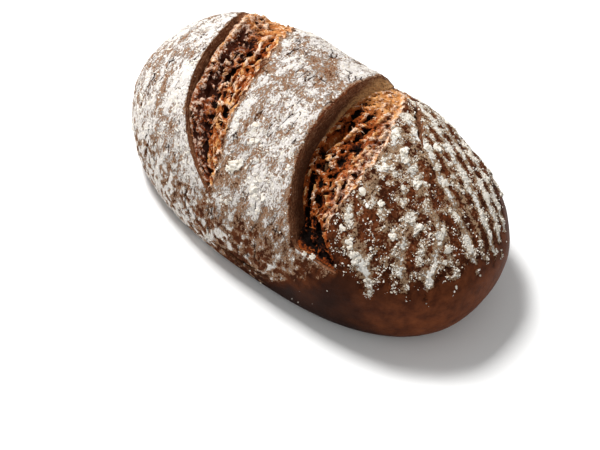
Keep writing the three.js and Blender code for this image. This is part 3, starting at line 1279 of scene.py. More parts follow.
    def fields(self, points: Array) -> dict[str, Array]:
        """The flour and the bake at places on the crust.

        Args:
            points: places in millimetres.

        Returns:
            Values by attribute name: flour from 0 to 1, crisp where it lies in hard crumbs, bare
                where there is none, how dark the crust is from its own bake and from painted shadow
                and light on its bare part, and how densely flakes, clumps and grains lie.
        """
        at = self.spots(points)
        raised = at.z - self.lying_from + self.lying_left * self.left_flank(at.x)
        lying = ease(raised / self.lying_over)
        bare = self.bareness(at)
        flour = lerp(self.dusting(at, lying), self.caking(at), at.right)
        frayed = points + self.ragged * at.small[..., None]
        flour = flour + sum(heap.rich * heap.share(frayed) for heap in self.heaps)
        flour = lerp(flour, self.bare_flour, bare) - 0.25 * at.small * bare * (1.0 - at.right)
        flour = flour - (0.5 + 0.3 * at.small) * self.wear(at)
        patchy = (0.35 * at.broad + 0.2 * at.middling) * (1.0 - 0.5 * bare)
        # The crust's own bake is mottled and darker low down; on its bare part a painted shadow
        # darkens it to the left and painted light brightens the right end.
        bake = 0.35 + patchy + 0.3 * (1.0 - lying)
        bake = bake + bare * (0.5 * self.painted_shadow_left(at.x) - 0.4 * self.painted_light_end(at.x))
        dusted = at.right * (1.0 - bare)
        sprinkled = 0.01 * lying + 0.3 * self.sprinkled_x(at.x) * self.sprinkled_turn(at.turn)
        sprinkled = (1.0 - at.right) * sprinkled * at.gathered
        loose = at.gathered * dusted
        return {
            "flour": np.clip(flour, -1.0, 1.0),
            "crisp": at.right,
            "bare": bare,
            "bake": np.clip(bake - 0.2 * (dusted * self.rusty_over(at.z)), 0.0, 1.0),
            "flakes": (1.0 - at.right) * ease(lying * 1.6) * self.flaking(flour),
            "clumps": np.clip(loose * (0.05 + 0.8 * at.stripe) + sprinkled, 0.0, 1.0),
            "grains": np.clip(loose * (0.3 + 0.9 * at.stripe) + sprinkled, 0.0, 1.0),
        }


# -------- the crust


@dataclass(frozen=True)
class Split:
    """A narrow boat-shaped opening in the skin, between two places (x, turn)."""

    start: tuple[float, float]
    end: tuple[float, float]
    wide: float
    deep: float


def closed_sheet(under: Array, over: Array) -> Array:
    """Faces of a closed body between two sheets of vertices.

    Args:
        under: vertex numbers of the lower sheet, in rows and columns.
        over: vertex numbers of the upper sheet, of the same shape.

    Returns:
        The faces, four vertex numbers each.
    """

    def quads(sheet: Array) -> Array:
        """The faces between the rows and columns of a sheet."""
        corners = [sheet[:-1, :-1], sheet[:-1, 1:], sheet[1:, 1:], sheet[1:, :-1]]
        return np.stack([c.ravel() for c in corners], axis=-1)

    faces = [quads(under), quads(over)[:, ::-1]]
    for low, high in (
        (under[0], over[0]),
        (over[-1], under[-1]),
        (over[:, 0], under[:, 0]),
        (under[:, -1], over[:, -1]),
    ):
        faces.append(np.stack([low[1:], low[:-1], high[:-1], high[1:]], axis=-1))
    return np.concatenate(faces)


def outward_faces(points: Array, faces: Array) -> Array:
    """Turns the faces of a closed body round if they point inwards.

    Args:
        points: its vertices.
        faces: its faces.

    Returns:
        The faces, which point outwards.
    """
    a, b, c = (points[faces[:, k]] for k in range(3))
    volume = np.einsum("ij,ij->i", a, np.cross(b, c)).sum()
    if faces.shape[1] == 4:
        d = points[faces[:, 3]]
        volume += np.einsum("ij,ij->i", a, np.cross(c, d)).sum()
    return faces if volume > 0.0 else faces[:, ::-1]


@dataclass
class Crust:
    """The skin of the loaf with its two scores cut down to below the torn crumb."""

    form: LoafForm
    flouring: Flouring
    facets: tuple[int, int, int] = (242, 137, 85)
    trough_rows: int = 190
    wall_columns: int = 12
    floor_columns: int = 18
    clearance: float = 9.0
    undercut: float = 6.5
    cut_from: float = 0.9
    crease_degrees: float = 38.0
    seam_half: float = 0.1
    crazed: Slope = Slope(-0.02, 0.2)
    over_base: Slope = Slope(0.0, 14.0)
    # High on the far side the right score's wall runs out into golden crumb.
    toasted_turn: Slope = Slope(118.0, 16.0)
    toasted_depth: Slope = Slope(0.3, 2.0)
    toasted_x: tuple[Slope, Slope] = (Slope(28.0, -4.0), Slope(-20.0, 4.0))
    splits: tuple[Split, ...] = (
        Split((31.0, 133.0), (59.0, 103.0), 4.8, 5.0),
        Split((-24.0, -11.0), (27.0, -9.0), 4.6, 6.0),
        Split((-91.0, -2.0), (-87.0, 11.0), 3.2, 2.6),
    )
    shift: Array = field(default_factory=lambda: np.zeros(3))

    def detail(self, points: Array) -> Array:
        """The fine relief of the crust: caked flour, blisters and short cracks.

        Args:
            points: places in millimetres.

        Returns:
            How far it stands out there, in millimetres.
        """
        fields = self.flouring.fields(points)
        rough = 1.0 - 0.85 * fields["bare"]
        lumps = 0.42 * grain(points, (4.0, 6.5, 6.5), 41) + 0.3 * grain(points, (2.3, 3.0, 3.0), 42)
        cake = 0.35 * ease(fields["flour"] + 0.3 * grain(points, (3.0, 4.0, 4.0), 43))
        seams = self.seams(points)
        groove = ease(1.2 - np.abs(seams["seam"]) / self.seam_half) * seams["split"]
        out = lumps + cake - 0.45 * groove
        return rough * out * self.over_base(points[..., 2])

    def seams(self, points: Array) -> dict[str, Array]:
        """Where the crust crazed as it cooled.

        Args:
            points: places in millimetres.

        Returns:
            Values by attribute name: seam is 0 along the lines, split says how strong they are.
        """
        fields = self.flouring.fields(points)
        where = self.crazed(grain(points, (7.0, 8.0, 8.0), 45))
        where = where * self.over_base(points[..., 2]) * (1.0 - 0.6 * fields["crisp"])
        return {
            "seam": grain(points, (3.0, 10.0, 10.0), 44),
            "split": where * (1.0 - fields["bare"]),
        }

    def skin(self) -> tuple[Array, Array]:
        """The uncut skin: an even box of facets blown up into the form of the loaf.

        Returns:
            Its vertices in millimetres, and its faces.
        """
        counts = np.array(self.facets)
        quads = []
        for axis in range(3):
            a, b = (k for k in range(3) if k != axis)
            i, j = np.meshgrid(np.arange(counts[a]), np.arange(counts[b]), indexing="ij")
            for side in (0, 1):
                quad = np.zeros((i.size, 4, 3), np.int64)
                quad[:, :, axis] = side * counts[axis]
                for corner, (right, up) in enumerate(((0, 0), (1, 0), (1, 1), (0, 1))):
                    quad[:, corner, a] = (i + right).ravel()
                    quad[:, corner, b] = (j + up).ravel()
                quads.append(quad if (side == 1) != (axis == 1) else quad[:, ::-1])
        corners = np.concatenate(quads).reshape(-1, 3)
        key = (corners[:, 0] * (counts[1] + 1) + corners[:, 1]) * (counts[2] + 1) + corners[:, 2]
        _, first, faces = np.unique(key, return_index=True, return_inverse=True)
        cube = 2.0 * corners[first] / counts - 1.0
        even = np.tan(cube * math.pi / 4.0)
        even /= np.linalg.norm(even, axis=1, keepdims=True)
        form = self.form
        plan = np.abs(even[:, 0]) ** form.plan_power
        plan += np.abs(even[:, 1]) ** form.plan_power
        upright = np.abs(even[:, 2]) ** form.section_power
        total = plan ** (form.section_power / form.plan_power) + upright
        unit = even * (total ** (-1.0 / form.section_power))[:, None]
        points = form.sized(unit[:, 0], unit[:, 1], unit[:, 2])
        out = form.relief(points) + self.detail(points)
        skin = points + form.outward(points) * out[:, None]
        skin[:, 2] = form.rest_on_base(skin[:, 2])
        return skin, faces.reshape(-1, 4)

    def trough(self, score: Score) -> tuple[Array, Array]:
        """The space of a score, down to a bed a little below the torn crumb.

        Args:
            score: the score.

        Returns:
            Its vertices in millimetres, and its faces.
        """
        turns = np.linspace(score.near_turn, score.far_turn, self.trough_rows)
        down = np.linspace(0.0, 1.0, self.wall_columns + 1)
        floor = np.linspace(0.0, 1.0, self.floor_columns + 1)
        wall = np.concatenate([down, np.ones_like(floor)])
        across = np.concatenate([np.zeros_like(down), floor])
        deeper = np.concatenate([np.zeros_like(down), np.full_like(floor, self.undercut)])
        wall, turn = np.meshgrid(wall, turns)
        across, deeper = (np.broadcast_to(v, turn.shape) for v in (across, deeper))
        x, out = score.place(wall, across, turn)
        run = turn * MM_PER_DEGREE
        ragged = 1.1 * noise(run / 4.1, 0.0, score.seed + 60) + 0.7 * noise(run / 1.7, 0.0, 61)
        frayed = 0.45 * noise(run / 2.2, 0.0, score.seed + 62)
        marks = 0.6 * noise(run / 3.0, wall * 7.0, 63) + 0.5 * noise(run / 1.5, wall * 11.0, 64)
        x = x + ragged * across**4 * score.openness(turn)
        x = x + (frayed * (1.0 - wall) + marks * np.sin(math.pi * wall)) * score.openness(turn)
        out = out - deeper * ease(score.openness(turn) / 0.2)
        under = self.form.on_skin(x, turn, out)
        over = self.form.on_skin(x, turn, np.full_like(out, self.clearance))
        numbers = np.arange(turn.size).reshape(turn.shape)
        points = np.concatenate([under.reshape(-1, 3), over.reshape(-1, 3)])
        return points, closed_sheet(numbers, numbers + turn.size)

    def split_space(self, split: Split) -> tuple[Array, Array]:
        """The space of a narrow split.

        Args:
            split: the split.

        Returns:
            Its vertices in millimetres, and its faces.
        """
        run = np.linspace(0.0, 1.0, 49)
        side = np.linspace(-0.5, 0.5, 9)

        def course(share: Array) -> Array:
            """The places on the skin at shares of the way along the split."""
            x = lerp(split.start[0], split.end[0], share)
            turn = lerp(split.start[1], split.end[1], share)
            return self.form.on_skin(x, turn, np.zeros_like(x))

        middle = course(run)
        ahead = course(np.minimum(run + 0.02, 1.0)) - course(np.maximum(run - 0.02, 0.0))
        out = self.form.outward(middle)
        across = np.cross(ahead, out)
        across /= np.linalg.norm(across, axis=1, keepdims=True)
        belly = np.sin(math.pi * (0.03 + 0.94 * run))[:, None]
        wander = 0.3 * split.wide * (noise(run * 6.0, 0.0, 9) + 0.4 * noise(run * 17.0, 0.0, 8))
        sideways = side[None, :] * split.wide * belly + wander[:, None]
        keel = -split.deep * belly * (1.0 - 0.75 * np.abs(2.0 * side[None, :]))
        base = middle[:, None, :] + across[:, None, :] * sideways[..., None]
        under = base + out[:, None, :] * keel[..., None]
        over = base + out[:, None, :] * 3.0
        numbers = np.arange(sideways.size).reshape(sideways.shape)
        points = np.concatenate([under.reshape(-1, 3), over.reshape(-1, 3)])
        return points, closed_sheet(numbers, numbers + sideways.size)

    def cut(self, body: Object, cutters: list[Object]) -> Mesh:
        """Takes the cutters out of the body and leaves their finish on the new faces.

        Args:
            body: the uncut skin. It is used up.
            cutters: the spaces to take out. They are used up.

        Returns:
            The cut mesh.
        """
        for cutter in cutters:
            boolean = body.modifiers.new(cutter.name, "BOOLEAN")
            boolean.operation = "DIFFERENCE"
            boolean.solver = "MANIFOLD"
            boolean.material_mode = "TRANSFER"
            boolean.object = cutter
        mesh = baked(body)
        for made in (body, *cutters):
            remove(made)
        return mesh

    def plain_base(self, mesh: Mesh) -> None:
        """Joins the many facets of the flat base into one face, and its triangles.

        Args:
            mesh: the cut crust. It is changed.
        """
        base_top = 1e-6
        whole = bmesh.new()
        whole.from_mesh(mesh)
        flat = [face for face in whole.faces if all(v.co.z < base_top for v in face.verts)]
        joined = bmesh.ops.dissolve_faces(whole, faces=flat)["region"]
        bmesh.ops.triangulate(whole, faces=joined)
        whole.to_mesh(mesh)
        whole.free()

    def dress(self, mesh: Mesh) -> None:
        """Stores what the finishes and the loose flour follow.

        Args:
            mesh: the cut crust. Its attributes are added.
        """
        places = coordinates(mesh) / MM + self.shift
        depth = self.form.relief(places) - self.form.height_over(places)
        for name, values in self.flouring.fields(places).items():
            laid = name in ("flour", "flakes", "clumps", "grains")
            set_attribute(mesh, name, np.where(laid & (depth > self.cut_from), 0.0, values))
        for name, values in self.seams(places).items():
            set_attribute(mesh, name, values)
        turn = self.form.turn_of(places)
        toast = self.toasted_turn(turn + 2.5 * depth) * self.toasted_depth(depth)
        for between in self.toasted_x:
            toast = toast * between(places[:, 0])
        for name, values in (
            ("depth", depth),
            ("toast", toast),
            ("run", turn * MM_PER_DEGREE),
            ("along", np.tile([0.3, 1.0, 0.0], (len(places), 1))),
        ):
            set_attribute(mesh, name, values)
        shade(mesh, self.crease_degrees)

    def build(self, skin: Material, wall: Material, split: Material) -> Object:
        """Makes and dresses the crust.

        Args:
            skin: the finish of the outside.
            wall: the finish of what the blade cut.
            split: the finish inside the narrow splits.

        Returns:
            The crust.
        """
        points, faces = self.skin()
        low, high = points.min(axis=0), points.max(axis=0)
        self.shift = np.array([(low[0] + high[0]) / 2.0, (low[1] + high[1]) / 2.0, 0.0])
        body = link("crust_body", make_mesh("crust_body", (points - self.shift) * MM, faces))
        body.data.materials.append(skin)
        spaces = [(*self.trough(score), wall) for score in self.form.scores]
        spaces += [(*self.split_space(narrow), split) for narrow in self.splits]
        cutters = []
        for number, (places, sides, finish) in enumerate(spaces):
            sides = outward_faces(places, sides)
            mesh = make_mesh(f"space_{number}", (places - self.shift) * MM, sides)
            mesh.materials.append(finish)
            cutters.append(link(f"space_{number}", mesh))
        mesh = self.cut(body, cutters)
        mesh.name = "crust"
        self.plain_base(mesh)
        self.dress(mesh)
        return link("crust", mesh)


# -------- the torn crumb


@dataclass(frozen=True)
class Course:
    """The course of a score: its turns, how far along it they lie, and how wide it is."""

    turns: Array
    lengths: Array
    opening: Array
    bed: Array

    def at(self, turn: float) -> tuple[float, float]:
        """How far along the score a turn lies, and how wide the crumb's bed is there."""
        lengths = float(np.interp(turn, self.turns, self.lengths))
        return lengths, float(np.interp(turn, self.turns, self.bed))


@dataclass
class TornCrumb:
    """The bed of torn crumb in one score, with its strands, hollows and bubbles.

    It is worked out in a straight block: u across from the wall's foot, v along the score
    and w out of the skin.  The block is then bent onto the loaf.
    """

    form: LoafForm
    score: Score
    shift: Array
    voxel: Array = field(default_factory=lambda: np.array([0.58, 0.74, 0.58]))
    margin: float = 4.0
    slab: float = 6.5
    least_slab: float = 1.6
    depth_spare: float = 6.0
    proud_and_shade_limit: float = 3.0
    end_spare: float = 4.0
    course_steps: int = 300
    small_bubbles: int = 120
    crease_degrees: float = 60.0
    # Along the score, by turn.
    pressed_low: Slope = Slope(64.0, -20.0)
    pressed_end: Slope = Slope(150.0, -30.0)
    smooth_low: Slope = Slope(66.0, -22.0)
    ledge_along: Hump = Hump(84.0, 44.0)
    golden: Slope = Slope(98.0, 24.0)
    # Across it: in millimetres from the wall's foot, and as a share of the bed.
    ledge_across: Hump = Hump(0.6, 5.2)
    valley_across: Hump = Hump(0.46, 0.24)
    valley_edge: Slope = Slope(0.76, 0.2)
    # Down into it, in millimetres over the skin.
    shaded: Slope = Slope(-4.0, -9.0)
    within_reach: Slope = Slope(-18.0, 4.0)
    standing_out: Slope = Slope(0.34, 0.2)

    def course(self) -> Course:
        """Follows the score along its middle.

        Returns:
            Its course.
        """
        score = self.score
        turns = np.linspace(
            score.near_turn - self.end_spare, score.far_turn + self.end_spare, self.course_steps
        )
        lip, tear = score.opening(turns)
        line = self.form.place((lip + tear) / 2.0, turns)
        steps = np.linalg.norm(np.diff(line, axis=0), axis=1)
        lengths = np.concatenate([[0.0], np.cumsum(steps)])
        return Course(turns, lengths, tear - lip, (tear - lip) * (1.0 - score.wall_share(turns)))

    def strands(self, block: Array, size: Triple, seed: int) -> Array:
        """A web of strands: 1 along their middles and down to -1 in the gaps."""
        first = grain(block, size, seed)
        second = grain(block, (size[2] * 1.1, size[1] * 0.8, size[0] * 0.9), seed + 50)
        return np.maximum(1.0 - 2.6 * np.sqrt(first * first + second * second), -1.0)

    def torn(self, places: Array) -> Array:
        """How far the tear pulled strands out and dug gaps in.

        Args:
            places: places in the block.

        Returns:
            Millimetres, below zero in the gaps.
        """
        seed = self.score.seed
        bend = [grain(places, (5.0, 7.0, 5.0), seed + 5 + k) for k in range(3)]
        block = places + 1.3 * np.stack(bend, axis=-1)
        block[..., 0] -= self.score.slant * places[..., 1]
        web = self.strands(block, (2.3, 5.2, 2.2), seed + 1)
        threads = self.strands(block, (1.3, 2.9, 1.3), seed + 2)
        rubble = grain(block, (1.7, 2.2, 1.7), seed + 6)
        crumbs = grain(places, (0.95, 1.15, 0.95), seed + 3)
        pits = -ease((grain(block, (4.0, 5.5, 4.0), seed + 4) - 0.28) / 0.3)
        return 1.1 * web + 1.1 * threads + 0.8 * rubble + 0.7 * crumbs + 2.6 * pits

    def calm(self, across: Array, turn: Array) -> Array:
        """From 0 to 1 where the blade pressed the crumb nearly smooth, most of all low down."""
        low = self.pressed_low(turn)
        foot = ease((lerp(0.36, 0.5, low) - across) / 0.25)
        return self.score.calm_foot * foot * lerp(0.6, 1.0, low) * self.pressed_end(turn)

    def levels(self, u: Array, turn: Array, bed: Array, wide: Array) -> tuple[Array, Array, Array]:
        """The levels of the crumb over its block.

        Args:
            u: places across the block, in a column.
            turn: the turn of each place along it, in a row.
            bed: how wide the crumb is there.
            wide: how wide the whole opening is there.

        Returns:
            The heights of its top and of its underside, and how strongly it is torn.
        """
        score = self.score
        across = u / bed
        held = np.clip(across, 0.0, 1.0)
        opened = score.filling(turn)
        shut = (opened - 1.0) * 1.6 - 4.0 * ease(1.0 - opened / 0.02)
        ledge = score.ledge * self.ledge_across(u) * self.ledge_along(turn)
        low = score.calm_foot * self.smooth_low(turn)
        valley = -2.8 - 3.4 * self.valley_across(held) + 1.6 * self.valley_edge(held)
        valley = valley + 1.1 * noise(held * 5.0, turn / 7.0, score.seed + 70)
        top = score.crumb_height(held, turn, wide) + ledge
        top = lerp(top, valley, low) * opened + shut
        top += held**8 * opened - 0.9 * np.maximum(-u, 0.0) - 0.7 * np.maximum(u - bed, 0.0)
        under = np.minimum(score.climb(held, turn) * opened + shut, top) - self.slab
        vigour = ease(opened / 0.25) * (1.0 - 0.35 * score.shallows(turn))
        vigour = vigour * (0.3 + 0.7 * ease(across / 0.07))
        vigour = vigour * (0.35 + 0.65 * ease((1.0 - across) / 0.1))
        return top, under, vigour * (1.0 - 0.72 * self.calm(across, turn))

    def dig(self, solid: Array, places: Array, centre: Array, size: Array) -> None:
        """Takes an uneven bubble out of the crumb.

        Args:
            solid: depth inside the crumb, above 0 in it. It is changed.
            places: the places of its values in the block.
            centre: the bubble's middle in the block.
            size: half its sizes.
        """
        first = (centre - 1.5 * size - places[0, 0, 0]) / self.voxel
        last = (centre + 1.5 * size - places[0, 0, 0]) / self.voxel
        window = tuple(slice(max(int(a), 0), max(int(b), 0) + 2) for a, b in zip(first, last))
        near = places[window]
        if near.size == 0:
            return
        uneven = 0.28 * grain(near, (2.2, 3.0, 2.2), self.score.seed + 9)
        reach = np.sqrt((((near - centre) / size) ** 2).sum(axis=-1)) + uneven
        solid[window] = np.minimum(solid[window], (reach - 1.0) * float(size.min()))

    def dig_all(self, solid: Array, places: Array, top: Array, course: Course) -> None:
        """Takes the placed bubbles and many small ones out of the crumb.

        Args:
            solid: depth inside the crumb, above 0 in it. It is changed.
            places: the places of its values in the block.
            top: the height of the crumb's top over each column of the block.
            course: the course of the score.
        """
        u, v = places[:, 0, 0, 0], places[0, :, 0, 1]
        for bubble in self.score.bubbles:
            along, bed = course.at(bubble.turn)
            across = bubble.across * bed
            i = int((across - u[0]) / self.voxel[0])
            j = int(along / self.voxel[1])
            centre = np.array([across, along, top[i, j] - 0.3 * bubble.deep])
            self.dig(solid, places, centre, np.array([bubble.sideways, bubble.along, bubble.deep]))
        random = np.random.default_rng(self.score.seed)
        for _ in range(self.small_bubbles):
            i = int(random.uniform(0.1, 0.95) * len(u))
            j = int(random.uniform(0.05, 0.95) * len(v))
            radius = 0.8 + 1.8 * random.uniform() ** 3
            centre = np.array([u[i], v[j], top[i, j] + random.uniform(-1.6, 0.8)])
            self.dig(solid, places, centre, radius * np.array([1.0, 1.6, 1.2]))

    def dress(self, mesh: Mesh, at: Array, turn: Array, proud_and_shade: Array) -> None:
        """Stores what the finish and the loose crumbs follow.

        Args:
            mesh: the crumb. Its attributes are added.
            at: the places of its vertices in the block.
            turn: their turns.
            proud_and_shade: from low where a vertex lies deep between others to high where it
                stands out; it sets painted shade in the hollows and lighter tips.
        """
        score = self.score
        lip, tear = score.opening(turn)
        foot = lerp(lip, tear, score.wall_share(turn))
        share = at[:, 0] / np.maximum(tear - foot, 1.0)
        near_end = Slope(score.near_turn + 22.0, -12.0)(turn)
        rim = Slope(score.near_turn + 10.0, -6.0)(turn)
        far = self.golden(turn) * lerp(0.45, 1.0, score.crosswise)
        calm = self.calm(share, turn)
        # Painted shade: the colour darkens deeper in the score, at the right score's near end and
        # along its near rim.
        proud_and_shade = proud_and_shade - 0.3 * self.shaded(at[:, 2])
        proud_and_shade = (proud_and_shade - 0.3) * (1.0 - 0.25 * near_end * score.crosswise) + 0.3
        proud_and_shade -= 0.36 * near_end * score.crosswise
        proud_and_shade += 0.12 * far
        proud_and_shade -= 0.14 * rim * score.crosswise
        proud_and_shade -= 0.36 * calm
        pale = np.maximum(score.paleness(share, turn) * (1.0 - near_end), 0.7 * calm)
        ahead = self.form.place(foot, turn + 2.0) - self.form.place(foot, turn)
        ahead /= np.linalg.norm(ahead, axis=1, keepdims=True)
        ahead[:, 0] += score.slant
        sideways = np.array([1.0, 0.1, 0.0])
        torn = self.standing_out(proud_and_shade) * self.within_reach(at[:, 2]) * (at[:, 2] < 1.0)
        for name, values in (
            ("proud_and_shade", np.clip(proud_and_shade, 0.0, 1.2)),
            ("pale", pale),
            ("gold", far),
            ("along", lerp(ahead, sideways, score.crosswise * near_end[:, None])),
            ("torn", torn),
        ):
            set_attribute(mesh, name, values)
        shade(mesh, self.crease_degrees)

    def build(self, finish: Material) -> Object:
        """Makes and dresses the crumb.

        Args:
            finish: the finish of the torn crumb.

        Returns:
            The crumb.
        """
        score = self.score
        course = self.course()
        deepest = score.wall_depth + score.tear_drop + self.slab + self.depth_spare
        u = np.arange(-self.margin, float(course.bed.max()) + self.margin, self.voxel[0])
        v = np.arange(0.0, course.lengths[-1], self.voxel[1])
        w = np.arange(-deepest, self.proud_and_shade_limit, self.voxel[2])
        rows = (
            np.interp(v, course.lengths, values)[None, :]
            for values in (course.turns, course.bed, course.opening)
        )
        top, under, vigour = self.levels(u[:, None], *rows)
        places = np.stack(np.meshgrid(u, v, w, indexing="ij"), axis=-1)
        solid = top[..., None] - places[..., 2] + vigour[..., None] * self.torn(places)
        self.dig_all(solid, places, top, course)
        solid = np.maximum(solid, under[..., None] + self.least_slab - places[..., 2])
        solid = np.minimum(solid, places[..., 2] - under[..., None])
        filled = (solid > 0.0).astype(np.float32)
        crowding = blurred(blurred(filled, 3), 3)
        enclosure = blurred(blurred(filled, 8), 6)
        for axis in range(3):
            ends = [slice(None)] * 3
            ends[axis] = [0, 1, -2, -1]
            solid[tuple(ends)] = np.minimum(solid[tuple(ends)], -0.5)

        grid = openvdb.FloatGrid(1.0)
        grid.copyFromArray((-solid).astype(np.float32))
        vertices, _, quads = grid.convertToPolygons(isovalue=0.0, adaptivity=0.0)
        vertices, quads = largest_part(vertices.astype(float), quads.astype(np.int64))
        at = np.array([u[0], v[0], w[0]]) + vertices * self.voxel
        turn = np.interp(at[:, 1], course.lengths, course.turns)
        foot = lerp(*score.opening(turn), score.wall_share(turn))
        points = self.form.on_skin(foot + at[:, 0], turn, at[:, 2])
        faces = outward_faces(points, quads)
        mesh = make_mesh(f"crumb_{score.side.value}", (points - self.shift) * MM, faces)
        mesh.materials.append(finish)
        cell = tuple(np.clip(np.rint(vertices).astype(int), 0, np.array(solid.shape) - 1).T)
        # Crumb that lies crowded and enclosed is coloured darker as painted shade; crumb that
        # stands free is coloured lighter, as baked tips and painted highlight.
        proud_and_shade = 0.62 + 1.3 * (0.5 - crowding[cell]) + 1.2 * (0.5 - enclosure[cell])
        self.dress(mesh, at, turn, proud_and_shade)
        return link(mesh.name, mesh)


def blurred(block: Array, reach: int) -> Array:
    """The mean over a cube of cells around each cell of a block.

    Args:
        block: values in three dimensions.
        reach: how many cells the cube reaches to each side.

    Returns:
        The means, in the block's shape.
    """
    for axis in range(3):
        pad = [(0, 0)] * 3
        pad[axis] = (reach + 1, reach)
        total = np.cumsum(np.pad(block, pad, mode="edge"), axis=axis, dtype=np.float64)
        size = block.shape[axis]
        upper = np.take(total, np.arange(2 * reach + 1, 2 * reach + 1 + size), axis=axis)
        lower = np.take(total, np.arange(size), axis=axis)
        block = (upper - lower) / (2 * reach + 1)
    return block


def largest_part(points: Array, faces: Array) -> tuple[Array, Array]:
    """Keeps the largest connected part of a mesh.

    Args:
        points: its vertices.
        faces: its faces.

    Returns:
        The vertices and faces of the part.
    """
    label = np.arange(len(points))
    while True:
        lowest = label[faces].min(axis=1)
        spread = label.copy()
        np.minimum.at(spread, faces.ravel(), np.repeat(lowest, faces.shape[1]))
        spread = spread[spread]
        if np.array_equal(spread, label):
            break
        label = spread
    names, counts = np.unique(label[faces[:, 0]], return_counts=True)
    kept = faces[label[faces[:, 0]] == names[counts.argmax()]]
    used, renumbered = np.unique(kept, return_inverse=True)
    return points[used], renumbered.reshape(kept.shape)


# -------- loose flour


class Bit(Enum):
    """What a scattered bit is: an uneven lump or an arched strand."""

    LUMP = "lump"
    STRAND = "strand"


